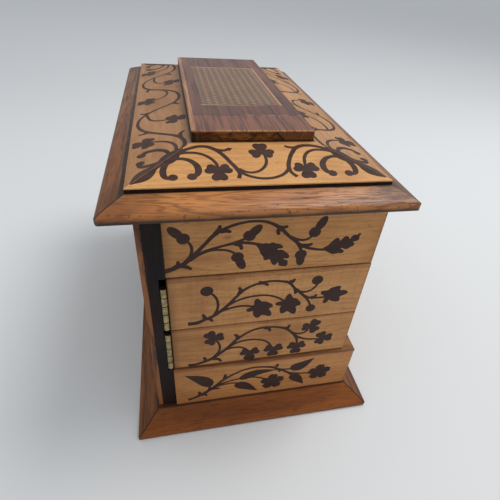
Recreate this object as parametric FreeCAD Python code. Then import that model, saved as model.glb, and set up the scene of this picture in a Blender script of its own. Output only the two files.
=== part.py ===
import FreeCAD, Part
import os
from FreeCAD import Placement, Rotation, Vector

# A marquetry jewelry cabinet: a moulded plinth, a base case with one drawer, two trays that
# swing out on corner hinges, a fixed upper case and a hinged lid with a raised tablet.
# Millimetres. X runs along the cabinet, -Y is the front and Z is up from the table.

# Overall sizes
tray_length = 279.0
case_depth = 150.0
base_step = 9.8
base_end_proud = 2.0
upper_end_inset = 0.6
plinth_height = 15.3
plinth_flare = 17.0
base_height = 45.5
lower_tray_height = 43.1
upper_tray_height = 47.1
upper_case_height = 48.5
lid_overhang = 12.0
lid_back_overhang = 17.0

# Board thicknesses
facing_thickness = 3.2
back_board_thickness = 10.8
base_board = 7.0
base_top_thickness = 2.4
base_top_round = 1.0
bottom_board_thickness = 6.0
tray_board = 6.0
tray_back_board = 5.0
tray_bottom_thickness = 3.0
upper_board = 6.0
upper_front_board = 6.5
upper_floor_thickness = 4.0
divider_thickness = 3.0
velvet_thickness = 1.0

# Clearances and small roundings
tray_gap = 0.5
drawer_gap = 0.5
lid_gap = 0.4
back_gap = 0.4
fit_gap = 0.4
arris = 0.5

# Butt hinges, all of one pattern
hinge_length = 38.0
barrel_radius = 2.25
pin_radius = 1.15
pin_running_clearance = 0.05
leaf_thickness = 1.0
leaf_reach = 9.4
knuckle_count = 5
knuckle_gap = 0.3
hinge_inset = 1.5
hinge_above_tray_bottom = 1.0
lid_hinge_spacing = 190.0

# Plinth moulding
plinth_reach_in = 14.0
plinth_rebate = 6.0
plinth_ledge = 0.8
plinth_foot = 3.5
plinth_foot_round = 1.2
plinth_corner_round = 1.6

# Lid moulding and raised panel
lid_rail_width = 28.0
lid_rail_edge = 1.6
lid_rail_rise = 9.9
lid_rail_seat = 6.5
lid_edge_round = 4.2
lid_nose_degrees = 70.0
lid_edge_soften = 1.4
lid_swell = 0.25
lid_corner_round = 4.4
panel_margin = 14.7
lid_board_thickness = 5.5
panel_edge = 0.7
panel_rise = 8.3
tablet_length = 196.0
tablet_depth = 76.0
tablet_height = 6.8
tablet_corner_round = 1.8
tablet_veneer_thickness = 0.9
lid_pad_thickness = 5.0
lid_pad_round = 3.0

# Drawer
drawer_side_board = 5.0
drawer_side_height = 35.0
drawer_bottom_thickness = 3.0
drawer_bottom_rise = 2.7
drawer_groove = 2.5
drawer_stop_gap = 1.0
dovetail_count = 3
dovetail_depth = 4.8
dovetail_share = 0.5
dovetail_splay = 1.2

# Turned knobs
knob_length = 9.0
knob_radius = 3.6
knob_head_length = 4.8
knob_bevel = 1.3
knob_neck_radius = 1.7
knob_foot_radius = 3.0
knob_foot_thickness = 1.2
knob_spigot_radius = 1.5
knob_spigot_length = 4.5
drawer_knob_spacing = 140.0

# Lock: a case let into the front, a bolt that slides in it, and two hooks that hang from the lid
lock_width = 32.0
lock_height = 15.0
lock_thickness = 4.5
lock_wall = 1.0
selvedge_width = 34.0
selvedge_depth = 5.5
selvedge_thickness = 1.2
bolt_thickness = 1.5
bolt_height = 3.5
bolt_prong_height = 1.4
bolt_prong_reach = 1.8
bolt_post_width = 1.5
bolt_travel = 2.0
bolt_notch = 3.0
link_width = 26.0
link_spacing = 12.0
hook_thickness = 1.2
hook_leg_width = 1.4
hook_toe_reach = 2.0
hook_toe_height = 1.2
hook_length = 5.0
keyhole_radius = 1.3
keyhole_slot_width = 1.4
keyhole_slot_length = 4.0
keyhole_drop = 10.0
escutcheon_half_width = 5.0
escutcheon_half_height = 8.0
escutcheon_thickness = 0.8

# Inside fittings
tray_divider_spacing = 92.0
tray_divider_drop = 6.0
well_divider_spacing = 96.0
well_divider_drop = 12.0
velvet_drop = 3.0
ring_roll_count = 6
ring_pad_height = 17.0
ring_pad_gap = 1.0
ring_valley = 5.0

# Levels
base_z = plinth_height
base_top_z = base_z + base_height
lower_tray_top = base_top_z + lower_tray_height
upper_tray_top = lower_tray_top + upper_tray_height
upper_case_z = upper_tray_top + tray_gap
lid_z = upper_tray_top + upper_case_height
case_top_z = lid_z - lid_gap
board_z = lid_z + lid_rail_seat
slope_z = board_z + lid_board_thickness
tablet_foot_z = slope_z + panel_edge + panel_rise
tablet_top_z = tablet_foot_z + tablet_height

# Front to back
back_y = (case_depth + base_step) / 2
base_front_y = -back_y
tray_front_y = base_front_y + base_step
joint_y = back_y - facing_thickness - back_board_thickness
tray_back_y = joint_y - back_gap

# Half lengths
tray_x = tray_length / 2
base_x = tray_x + base_end_proud
upper_x = tray_x - upper_end_inset
lid_x = tray_x + lid_overhang

# Hinge axes
tray_axis_x = -tray_x + hinge_inset
tray_axis_y = tray_back_y + barrel_radius
lid_axis_y = back_y
lid_axis_z = lid_z - barrel_radius
scoop_radius = barrel_radius + fit_gap
leaf_room = leaf_reach + fit_gap

# Lock places
lock_back_y = tray_front_y + upper_front_board
lock_middle_y = lock_back_y - lock_thickness / 2
lock_top_z = case_top_z - selvedge_thickness
toe_top_z = lid_z - hook_length + hook_toe_height
hook_middles = (-link_spacing / 2, link_spacing / 2)

# Outlines seen from above, each a pair of spans in X and Y
base_outline = ((-base_x, base_x), (base_front_y, back_y))
lid_outline = ((-lid_x, lid_x), (tray_front_y - lid_overhang, back_y + lid_back_overhang))
lid_centre_y = sum(lid_outline[1]) / 2
tablet_outline = (
    (-tablet_length / 2, tablet_length / 2),
    (lid_centre_y - tablet_depth / 2, lid_centre_y + tablet_depth / 2),
)

X_AXIS = Vector(1, 0, 0)
Y_AXIS = Vector(0, 1, 0)
Z_AXIS = Vector(0, 0, 1)
SIDES = ("front", "right", "back", "left")
QUARTER_ARC_MIDDLE = 1 - 0.5**0.5


def board(x_span, y_span, z_span):
    """A squared piece between three pairs of planes."""
    size = [high - low for low, high in (x_span, y_span, z_span)]
    return Part.makeBox(*size, Vector(x_span[0], y_span[0], z_span[0]))


def grow(outline, amount):
    """The same outline with every side moved outwards."""
    return tuple((low - amount, high + amount) for low, high in outline)


def both(half):
    """A span of equal reach each side of the middle."""
    return (-half, half)


def profile_face(start, steps):
    """A face in the XZ plane. A step is a point, or a pair of points for an arc through the first."""
    edges = []
    here = start
    for step in steps + [start]:
        if isinstance(step[0], tuple):
            middle, end = step
            arc = Part.Arc(Vector(here[0], 0, here[1]), Vector(middle[0], 0, middle[1]),
                           Vector(end[0], 0, end[1]))
            edges.append(arc.toShape())
        else:
            end = step
            edges.append(Part.makeLine(Vector(here[0], 0, here[1]), Vector(end[0], 0, end[1])))
        here = end
    return Part.Face(Part.Wire(edges))


def corners(outline):
    """Front left, front right, back right and back left."""
    (x_low, x_high), (y_low, y_high) = outline
    return [(x_low, y_low), (x_high, y_low), (x_high, y_high), (x_low, y_high)]


def mitred_frame(face, outline, outer, inner):
    """Four lengths of one moulding, mitred between an outer and an inner outline.

    The face stands in the XZ plane with x = 0 on the outline and +x pointing outwards."""
    (x_low, x_high), (y_low, y_high) = outline
    turns = {
        "front": (-90, 0, y_low),
        "right": (0, x_high, 0),
        "back": (90, 0, y_high),
        "left": (180, x_low, 0),
    }
    reach = 2 * max(x_high - x_low, y_high - y_low)
    outer_corners = corners(outer)
    inner_corners = corners(inner)
    bounds = face.BoundBox
    rails = {}
    for index, side in enumerate(SIDES):
        after = (index + 1) % len(SIDES)
        angle, shift_x, shift_y = turns[side]
        length = face.extrude(Y_AXIS * reach)
        length.translate(Y_AXIS * (-reach / 2))
        length.rotate(Vector(), Z_AXIS, angle)
        length.translate(Vector(shift_x, shift_y, 0))
        plan = [outer_corners[index], outer_corners[after], inner_corners[after], inner_corners[index]]
        wire = Part.makePolygon([Vector(x, y, bounds.ZMin) for x, y in plan + plan[:1]])
        mitre = Part.Face(wire).extrude(Z_AXIS * bounds.ZLength)
        rails[side] = length.common(mitre)
    return rails


def ease(shape, radius, wanted):
    """Rounds the edges that the test picks."""
    return shape.makeFillet(radius, [edge for edge in shape.Edges if wanted(edge.BoundBox)])


def take_arris(shape, wanted):
    """Takes the sharpness off the edges that the test picks."""
    return shape.makeChamfer(arris, [edge for edge in shape.Edges if wanted(edge.BoundBox)])


def in_plane(axis, place):
    """Picks the edges that lie in one plane square to an axis, named by its letter."""
    def wanted(box):
        low = getattr(box, axis + "Min")
        high = getattr(box, axis + "Max")
        return abs(low - place) < 1e-3 and abs(high - place) < 1e-3
    return wanted


def long_in_front(place, least):
    """Picks the long edges of a front board's face."""
    return lambda box: in_plane("Y", place)(box) and box.XLength > least


def upright_in(place):
    """Picks the upright edges of an end board's face."""
    return lambda box: in_plane("X", place)(box) and box.ZLength > arris


def round_cornered(x_span, y_span, z_span, radius):
    """A board with its four upright corners rounded."""
    return ease(board(x_span, y_span, z_span), radius, lambda box: box.ZLength > arris)


def open_box(x_span, y_span, z_span, wall):
    """A lining: four walls and a floor, open on top."""
    outside = board(x_span, y_span, z_span)
    inside = board((x_span[0] + wall, x_span[1] - wall), (y_span[0] + wall, y_span[1] - wall),
                   (z_span[0] + wall, z_span[1] + wall))
    return outside.cut(inside)


def knob(x, front_y, z):
    """A turned knob with a spigot that is glued into the board behind it."""
    face = profile_face((0, -knob_spigot_length), [
        (knob_spigot_radius, -knob_spigot_length),
        (knob_spigot_radius, 0),
        (knob_foot_radius, 0),
        (knob_foot_radius, knob_foot_thickness),
        (knob_neck_radius, knob_foot_thickness),
        (knob_neck_radius, knob_length - knob_head_length),
        (knob_radius, knob_length - knob_head_length),
        (knob_radius, knob_length - knob_bevel),
        (knob_radius - knob_bevel, knob_length),
        (0, knob_length),
    ])
    turned = face.revolve(Vector(), Z_AXIS, 360)
    turned.rotate(Vector(), X_AXIS, 90)
    turned.translate(Vector(x, front_y, z))
    return turned


def knob_hole(x, front_y, z):
    """The hole that takes the spigot."""
    return Part.makeCylinder(knob_spigot_radius, knob_spigot_length, Vector(x, front_y, z), Y_AXIS)


def knuckle_span(index):
    """Where one knuckle of a hinge lies along its pin."""
    length = (hinge_length - (knuckle_count - 1) * knuckle_gap) / knuckle_count
    low = -hinge_length / 2 + index * (length + knuckle_gap)
    return (low, low + length)


def hinge_leaf(side, first_knuckle, bore_radius):
    """One leaf rolled round the pin, which stands on local Z. The plate runs along local +X.

    A side of -1 puts the plate at local -Y, and +1 at local +Y."""
    plate_y = sorted((side * barrel_radius, side * (barrel_radius - leaf_thickness)))
    leaf = board((scoop_radius, leaf_reach), plate_y, both(hinge_length / 2))
    pieces = []
    for index in range(first_knuckle, knuckle_count, 2):
        span = knuckle_span(index)
        pieces.append(board((0, scoop_radius), plate_y, span))
        pieces.append(Part.makeCylinder(barrel_radius, span[1] - span[0], Vector(0, 0, span[0])))
    bore = Part.makeCylinder(bore_radius, hinge_length, Vector(0, 0, -hinge_length / 2))
    return leaf.fuse(pieces).cut(bore).removeSplitter()


def placed(shape, placement):
    """A copy of a shape at a placement."""
    copy = shape.copy()
    copy.Placement = placement.multiply(copy.Placement)
    return copy


def tray_hinge_place(tray_z):
    """Upright at the back left corner of a tray."""
    middle = tray_z[0] + hinge_above_tray_bottom + hinge_length / 2
    return Placement(Vector(tray_axis_x, tray_axis_y, middle), Rotation())


def lid_hinge_place(x):
    """Along the back edge under the lid, plates running forwards, the moving leaf on top."""
    turn = Rotation(-Y_AXIS, -Z_AXIS, X_AXIS, "XYZ")
    return Placement(Vector(x, lid_axis_y, lid_axis_z), turn)


tray_spans = {
    "lower_tray": (base_top_z + tray_gap, lower_tray_top),
    "upper_tray": (lower_tray_top + tray_gap, upper_tray_top),
}
tray_hinge_places = [tray_hinge_place(span) for span in tray_spans.values()]
lid_hinge_places = [lid_hinge_place(side * lid_hinge_spacing / 2) for side in (-1, 1)]


def hinge_scoop(place):
    """Room for a barrel to turn in."""
    half = hinge_length / 2 + fit_gap
    return placed(Part.makeCylinder(scoop_radius, 2 * half, Vector(0, 0, -half)), place)


def hinge_recesses():
    """The channel behind the trays' hinges and the two recesses under the lid's."""
    recesses = [hinge_scoop(place) for place in tray_hinge_places + lid_hinge_places]
    recesses.append(board((-tray_x, tray_axis_x + leaf_room), (joint_y, tray_axis_y + barrel_radius),
                          (base_top_z, upper_case_z)))
    half = hinge_length / 2 + fit_gap
    for place in lid_hinge_places:
        recesses.append(board((place.Base.x - half, place.Base.x + half), (lid_axis_y - leaf_room, back_y),
                              (lid_axis_z - barrel_radius, lid_z)))
    return recesses


def plinth():
    """Bevelled rails, mitred at the corners, with a rebate for the bottom board."""
    turn = plinth_foot_round
    bent = turn * QUARTER_ARC_MIDDLE
    seat = plinth_rebate - plinth_reach_in
    seat_z = plinth_height - bottom_board_thickness
    face = profile_face((-plinth_reach_in, 0), [
        (plinth_flare - turn, 0),
        ((plinth_flare - bent, bent), (plinth_flare, turn)),
        (plinth_flare, plinth_foot),
        (plinth_ledge, plinth_height),
        (seat, plinth_height),
        (seat, seat_z),
        (-plinth_reach_in, seat_z),
    ])
    outer = grow(base_outline, plinth_flare)
    inner = grow(base_outline, -plinth_reach_in)
    rails = mitred_frame(face, base_outline, outer, inner)
    reach = round_cornered(*outer, (0, plinth_height), plinth_corner_round)
    parts = {"plinth_" + side: rails[side].common(reach) for side in SIDES}
    parts["bottom_board"] = board(*grow(base_outline, seat), (seat_z, plinth_height))
    return parts


def base_case():
    """Two ends and a top round the drawer, closed behind by the back board."""
    ends_z = (base_z, base_top_z - base_top_thickness)
    y_span = (base_front_y, joint_y)
    left = board((-base_x, -base_x + base_board), y_span, ends_z)
    right = board((base_x - base_board, base_x), y_span, ends_z)
    top = board(both(base_x), y_span, (ends_z[1], base_top_z))
    on_top = in_plane("Z", base_top_z)
    return {
        "base_left_end": take_arris(left, upright_in(-base_x)),
        "base_right_end": take_arris(right, upright_in(base_x)),
        "base_top": ease(top, base_top_round, lambda box: on_top(box) and box.YMin < joint_y - arris),
    }


def cabinet_back():
    """The thick back board that carries everything above the base, and its outer facing."""
    z_span = (base_z, case_top_z)
    recesses = hinge_recesses()
    core = board(both(tray_x), (joint_y, back_y - facing_thickness), z_span).cut(recesses)
    facing = board(both(tray_x), (back_y - facing_thickness, back_y), z_span).cut(recesses)
    return {"back_board": core, "back_facing": facing}


def drawer_spans():
    """The drawer's width, its side boards' height and its depth behind the front."""
    half = base_x - base_board - drawer_gap
    low = base_z + drawer_gap / 2
    return half, (low, low + drawer_side_height), joint_y - drawer_stop_gap


def dovetails(x_span, front_back_y, z_span):
    """Tails that run forwards from a side board into the drawer's front."""
    pitch = (z_span[1] - z_span[0]) / dovetail_count
    narrow = dovetail_share * pitch / 2
    tails = []
    for index in range(dovetail_count):
        middle = z_span[0] + (index + 0.5) * pitch
        outline = [
            (front_back_y, middle - narrow),
            (front_back_y - dovetail_depth, middle - narrow - dovetail_splay),
            (front_back_y - dovetail_depth, middle + narrow + dovetail_splay),
            (front_back_y, middle + narrow),
        ]
        wire = Part.makePolygon([Vector(x_span[0], y, z) for y, z in outline + outline[:1]])
        tails.append(Part.Face(wire).extrude(X_AXIS * (x_span[1] - x_span[0])))
    return tails


def drawer():
    """A dovetailed drawer with a grooved-in bottom and two knobs."""
    half, sides_z, end_y = drawer_spans()
    front_back_y = base_front_y + base_board
    inner = half - drawer_side_board
    back_y_span = (end_y - drawer_side_board, end_y)
    bottom_z = (sides_z[0] + drawer_bottom_rise, sides_z[0] + drawer_bottom_rise + drawer_bottom_thickness)
    bottom = board(both(inner + drawer_groove), (front_back_y - drawer_groove, end_y), bottom_z)

    front_z = (sides_z[0], base_top_z - base_top_thickness - drawer_gap)
    front = board(both(half), (base_front_y, front_back_y), front_z)
    front = take_arris(front, in_plane("Y", base_front_y))
    middle_z = sum(front_z) / 2
    knob_places = [side * drawer_knob_spacing / 2 for side in (-1, 1)]
    for x in knob_places:
        front = front.cut(knob_hole(x, base_front_y, middle_z))
    sides = {}
    for name, x_span in (("left", (-half, -inner)), ("right", (inner, half))):
        tails = dovetails(x_span, front_back_y, sides_z)
        side = board(x_span, (front_back_y, end_y), sides_z).fuse(tails).removeSplitter()
        sides[name] = side.cut(bottom)
        front = front.cut(tails)
    front = front.cut(bottom)
    back = board(both(inner), back_y_span, (bottom_z[1], sides_z[1]))
    lining = open_box(both(inner), (front_back_y, back_y_span[0]),
                      (bottom_z[1], sides_z[1] - velvet_drop), velvet_thickness)
    knobs = Part.makeCompound([knob(x, base_front_y, middle_z) for x in knob_places])
    return {
        "drawer_front": front,
        "drawer_left_side": sides["left"],
        "drawer_right_side": sides["right"],
        "drawer_back": back,
        "drawer_bottom": bottom,
        "drawer_lining": lining,
        "drawer_knobs": knobs,
    }


def dividers(spacing, y_span, z_span):
    """Two upright boards that part a tray in three."""
    on_top = in_plane("Z", z_span[1])
    boards = []
    for side in (-1, 1):
        middle = side * spacing / 2
        x_span = (middle - divider_thickness / 2, middle + divider_thickness / 2)
        strip = board(x_span, y_span, z_span)
        boards.append(take_arris(strip, lambda box: on_top(box) and box.YLength > divider_thickness))
    return Part.makeCompound(boards)


def tray(name, z_span):
    """A swing-out tray: ends outside the front and back boards, with a lined and divided inside."""
    left = board((-tray_x, -tray_x + tray_board), (tray_front_y, tray_back_y), z_span)
    right = board((tray_x - tray_board, tray_x), (tray_front_y, tray_back_y), z_span)
    place = tray_hinge_place(z_span)
    left = take_arris(left, in_plane("X", -tray_x)).cut(hinge_scoop(place))
    right = take_arris(right, in_plane("X", tray_x))

    inner = tray_x - tray_board
    inside_y = (tray_front_y + tray_board, tray_back_y - tray_back_board)
    front = board(both(inner), (tray_front_y, inside_y[0]), z_span)
    front = take_arris(front, long_in_front(tray_front_y, inner))
    middle_z = sum(z_span) / 2
    front = front.cut(knob_hole(0, tray_front_y, middle_z))
    back = board(both(inner), (inside_y[1], tray_back_y), z_span)
    floor_z = z_span[0] + tray_bottom_thickness
    bottom = board(both(inner), inside_y, (z_span[0], floor_z))
    lining = open_box(both(inner), inside_y, (floor_z, z_span[1] - velvet_drop), velvet_thickness)
    divider_y = (inside_y[0] + velvet_thickness, inside_y[1] - velvet_thickness)
    divider_z = (floor_z + velvet_thickness, z_span[1] - tray_divider_drop)
    leaf = hinge_leaf(-1, 1, pin_radius + pin_running_clearance)
    return {
        name + "_front": front,
        name + "_left_end": left,
        name + "_right_end": right,
        name + "_back": back,
        name + "_bottom": bottom,
        name + "_lining": lining,
        name + "_dividers": dividers(tray_divider_spacing, divider_y, divider_z),
        name + "_knob": knob(0, tray_front_y, middle_z),
        name + "_hinge_leaf": placed(leaf, place),
    }


def ring_pad(x_span, y_span, floor_z):
    """A cushion of soft rolls with a slot between each pair, where rings are pushed in."""
    pitch = (x_span[1] - x_span[0]) / ring_roll_count
    side_z = floor_z + ring_pad_height - pitch / 2
    steps = [(x_span[1], floor_z), (x_span[1], side_z)]
    for index in range(ring_roll_count):
        right = x_span[1] - index * pitch
        left = right - pitch
        valley_z = side_z if index == ring_roll_count - 1 else floor_z + ring_pad_height - ring_valley
        crown = ((left + right) / 2, floor_z + ring_pad_height)
        steps.append((crown, (left, valley_z)))
    face = profile_face((x_span[0], floor_z), steps)
    pad = face.extrude(Y_AXIS * (y_span[1] - y_span[0]))
    pad.translate(Y_AXIS * y_span[0])
    return pad


def upper_case():
    """The fixed case under the lid: a lined well behind a front that holds the lock."""
    z_span = (upper_case_z, case_top_z)
    lining_z = (upper_case_z + upper_floor_thickness, case_top_z - velvet_drop)
    left = board((-upper_x, -upper_x + upper_board), (tray_front_y, joint_y), z_span)
    right = board((upper_x - upper_board, upper_x), (tray_front_y, joint_y), z_span)
    inner = upper_x - upper_board
    inside_y = (lock_back_y, joint_y)
    front = board(both(inner), (tray_front_y, inside_y[0]), z_span)
    front = take_arris(front, long_in_front(tray_front_y, inner))
    well_y = (inside_y[0] + velvet_thickness, inside_y[1] - velvet_thickness)
    well_floor = lining_z[0] + velvet_thickness
    divider_z = (well_floor, case_top_z - well_divider_drop)
    pad_x = (-inner + velvet_thickness + ring_pad_gap,
             -(well_divider_spacing + divider_thickness) / 2 - ring_pad_gap)
    pad_y = (well_y[0] + ring_pad_gap, well_y[1] - ring_pad_gap)
    return {
        "upper_left_end": take_arris(left, in_plane("X", -upper_x)),
        "upper_right_end": take_arris(right, in_plane("X", upper_x)),
        "upper_front": front.cut([lock_block(), escutcheon_plate(), key_opening()]),
        "upper_floor": board(both(inner), inside_y, (upper_case_z, lining_z[0])),
        "well_lining": open_box(both(inner), inside_y, lining_z, velvet_thickness),
        "well_dividers": dividers(well_divider_spacing, well_y, divider_z),
        "ring_cushion": ring_pad(pad_x, pad_y, well_floor),
    }


def key_opening():
    """A round hole with a slot below it, cut from the front into the lock."""
    z = case_top_z - keyhole_drop
    depth = lock_middle_y - tray_front_y
    hole = Part.makeCylinder(keyhole_radius, depth, Vector(0, tray_front_y, z), Y_AXIS)
    slot = board(both(keyhole_slot_width / 2), (tray_front_y, lock_middle_y), (z - keyhole_slot_length, z))
    return hole.fuse(slot)


def escutcheon_plate():
    """A lozenge of brass let in flush round the keyhole."""
    middle = case_top_z - keyhole_drop - keyhole_slot_length / 3
    lozenge = [
        (0, middle - escutcheon_half_height),
        (escutcheon_half_width, middle),
        (0, middle + escutcheon_half_height),
        (-escutcheon_half_width, middle),
    ]
    wire = Part.makePolygon([Vector(x, tray_front_y, z) for x, z in lozenge + lozenge[:1]])
    return Part.Face(wire).extrude(Y_AXIS * escutcheon_thickness)


def lock_block():
    """The outside of the lock: a case under a wider selvedge."""
    case = board(both(lock_width / 2), (lock_back_y - lock_thickness, lock_back_y),
                 (lock_top_z - lock_height, lock_top_z))
    selvedge = board(both(selvedge_width / 2), (lock_back_y - selvedge_depth, lock_back_y),
                     (lock_top_z, case_top_z))
    return case.fuse(selvedge).removeSplitter()


def hook_span(middle, clearance):
    """How far one hook reaches along the cabinet, from the back of its leg to its toe."""
    reach = hook_leg_width / 2 + hook_toe_reach
    return (middle - hook_leg_width / 2 - clearance, middle + reach + clearance)


def link_hooks():
    """Two hooks that hang from the lid with their toes to the right."""
    y_span = (lock_middle_y - hook_thickness / 2, lock_middle_y + hook_thickness / 2)
    hooks = []
    for middle in hook_middles:
        low, high = hook_span(middle, 0)
        leg = board((low, low + hook_leg_width), y_span, (lid_z - hook_length, lid_z))
        hooks.append(leg.fuse(board((low, high), y_span, (lid_z - hook_length, toe_top_z))))
    return hooks


def lock_bolt():
    """A bar with two posts whose prongs slide over the toes of the hooks."""
    y_span = (lock_middle_y - bolt_thickness / 2, lock_middle_y + bolt_thickness / 2)
    top = lid_z - hook_length - fit_gap
    prong_z = (toe_top_z + fit_gap, toe_top_z + fit_gap + bolt_prong_height)
    pieces = []
    for middle in hook_middles:
        tip = hook_span(middle, fit_gap)[1]
        post = tip + bolt_prong_reach
        pieces.append(board((tip, post), y_span, prong_z))
        pieces.append(board((post, post + bolt_post_width), y_span, (top, prong_z[1])))
    left = hook_span(hook_middles[0], bolt_travel)[0]
    right = pieces[-1].BoundBox.XMax
    bar = board((left, right), y_span, (top - bolt_height, top))
    notch = board(both(bolt_notch / 2), y_span, (top - bolt_height, top - bolt_height + bolt_notch / 3))
    return bar.fuse(pieces).removeSplitter().cut(notch)


def lock_parts():
    """The lock, with its cover left on, and the plate round its keyhole."""
    inside = lock_thickness / 2 - lock_wall
    cavity = board(both(lock_width / 2 - lock_wall), (lock_middle_y - inside, lock_middle_y + inside),
                   (lock_top_z - lock_height + lock_wall, lock_top_z))
    slot_y = (lock_middle_y - hook_thickness / 2 - fit_gap, lock_middle_y + hook_thickness / 2 + fit_gap)
    slots = [board(hook_span(middle, fit_gap), slot_y, (lock_top_z, case_top_z)) for middle in hook_middles]
    return {
        "lock_case": lock_block().cut([cavity, key_opening()] + slots),
        "lock_bolt": lock_bolt(),
        "keyhole_escutcheon": escutcheon_plate().cut(key_opening()),
    }


def lid_rails():
    """The mitred moulding round the lid, rounded at its edge and swelling up to the raised panel."""
    soft = lid_edge_soften
    soft_bent = soft * QUARTER_ARC_MIDDLE
    nose_z = lid_z + lid_rail_edge
    panel_z = lid_z + lid_rail_rise

    def nose(degrees):
        spoke = Rotation(Y_AXIS, -degrees).multVec(Vector(lid_edge_round, 0, 0))
        return (spoke.x - lid_edge_round, nose_z + spoke.z)

    nose_top = nose(lid_nose_degrees)
    swell = ((nose_top[0] - panel_margin) / 2, (nose_top[1] + panel_z) / 2 + lid_swell)
    face = profile_face((-lid_rail_width, lid_z), [
        (-soft, lid_z),
        ((-soft_bent, lid_z + soft_bent), (0, lid_z + soft)),
        (0, nose_z),
        (nose(lid_nose_degrees / 2), nose_top),
        (swell, (-panel_margin, panel_z)),
        (-panel_margin, board_z),
        (-lid_rail_width, board_z),
    ])
    whole = mitred_frame(face, lid_outline, lid_outline, grow(lid_outline, -lid_rail_width))
    reach = round_cornered(*lid_outline, (lid_z, panel_z), lid_corner_round)
    rails = {side: rail.common(reach) for side, rail in whole.items()}
    rails["back"] = rails["back"].cut([hinge_scoop(place) for place in lid_hinge_places])
    return rails


def lid_slopes():
    """Four wedges that rise from the edge of the lid board to the tablet, mitred at the hips."""
    foot = grow(lid_outline, -panel_margin)
    slopes = {}
    for side in SIDES:
        axis = 1 if side in ("front", "back") else 0
        run = tablet_outline[axis][0] - foot[axis][0]
        face = profile_face((-run, slope_z), [
            (0, slope_z),
            (0, slope_z + panel_edge),
            (-run, slope_z + panel_edge + panel_rise),
        ])
        slopes[side] = mitred_frame(face, foot, foot, tablet_outline)[side]
    return slopes


def lid():
    """Moulding, board, hipped panel, tablet, padded lining and the fittings on its underside."""
    parts = {"lid_" + side + "_rail": rail for side, rail in lid_rails().items()}
    parts.update({"lid_" + side + "_slope": slope for side, slope in lid_slopes().items()})
    parts["lid_board"] = board(*grow(lid_outline, -panel_margin), (board_z, slope_z))
    veneer_z = tablet_top_z - tablet_veneer_thickness
    parts["tablet"] = round_cornered(*tablet_outline, (slope_z, veneer_z), tablet_corner_round)
    veneer = round_cornered(*tablet_outline, (veneer_z, tablet_top_z), tablet_corner_round)
    parts["tablet_veneer"] = take_arris(veneer, in_plane("Z", tablet_top_z))
    pad_z = board_z - lid_pad_thickness
    pad = board(*grow(lid_outline, -lid_rail_width), (pad_z, board_z))
    parts["lid_lining"] = ease(pad, lid_pad_round, in_plane("Z", pad_z))

    plate_y = (lock_middle_y - selvedge_depth / 2, lock_middle_y + selvedge_depth / 2)
    plate = board(both(link_width / 2), plate_y, (lid_z, lid_z + selvedge_thickness))
    parts["lock_link_plate"] = plate.fuse(link_hooks()).removeSplitter()
    parts["lid_front_rail"] = parts["lid_front_rail"].cut(plate)
    leaf = hinge_leaf(-1, 1, pin_radius + pin_running_clearance)
    parts["lid_hinge_leaves"] = Part.makeCompound([placed(leaf, place) for place in lid_hinge_places])
    return parts


def fixed_hinge_parts():
    """The leaves on the back board, each with the pin that it holds."""
    leaf = hinge_leaf(1, 0, pin_radius)
    pin = Part.makeCylinder(pin_radius, hinge_length, Vector(0, 0, -hinge_length / 2))
    places = tray_hinge_places + lid_hinge_places
    solids = [placed(shape, place) for place in places for shape in (leaf, pin)]
    return {"hinge_fixed_leaves_and_pins": Part.makeCompound(solids)}


def cabinet():
    """Every piece by name."""
    parts = {}
    groups = (plinth, base_case, cabinet_back, drawer, upper_case, lock_parts, fixed_hinge_parts, lid)
    for group in groups:
        parts.update(group())
    for name, z_span in tray_spans.items():
        parts.update(tray(name, z_span))
    return parts


os.makedirs("parts", exist_ok=True)
for node, shape in cabinet().items():
    shape.exportStep("parts/" + node + ".step")
    print(node, "solids", len(shape.Solids), "valid", shape.isValid(), "volume", round(shape.Volume, 1))
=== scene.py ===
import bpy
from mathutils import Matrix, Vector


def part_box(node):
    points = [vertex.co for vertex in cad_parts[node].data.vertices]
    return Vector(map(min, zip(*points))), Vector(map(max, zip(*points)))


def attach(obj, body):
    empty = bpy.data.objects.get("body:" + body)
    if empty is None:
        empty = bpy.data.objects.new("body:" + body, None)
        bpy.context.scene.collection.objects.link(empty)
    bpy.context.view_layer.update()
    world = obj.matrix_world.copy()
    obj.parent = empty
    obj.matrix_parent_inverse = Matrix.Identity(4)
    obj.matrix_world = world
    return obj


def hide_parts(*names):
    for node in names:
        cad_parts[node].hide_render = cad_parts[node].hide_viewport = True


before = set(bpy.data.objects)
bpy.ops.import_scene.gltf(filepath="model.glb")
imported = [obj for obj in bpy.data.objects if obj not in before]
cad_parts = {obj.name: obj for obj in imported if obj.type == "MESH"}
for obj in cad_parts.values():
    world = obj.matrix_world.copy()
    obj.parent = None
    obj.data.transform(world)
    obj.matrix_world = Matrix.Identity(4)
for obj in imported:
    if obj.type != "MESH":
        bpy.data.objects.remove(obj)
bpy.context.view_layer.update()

import math

import bpy
from mathutils import Matrix, Vector

mm = 0.001

# Plinth
# Four flared rails of a reddish wood, mitred at the corners and glued to the base case.
# They are waxed and scratched, grimy along the foot and mitres, and carry a painted shade line
# where they meet the case.


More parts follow.
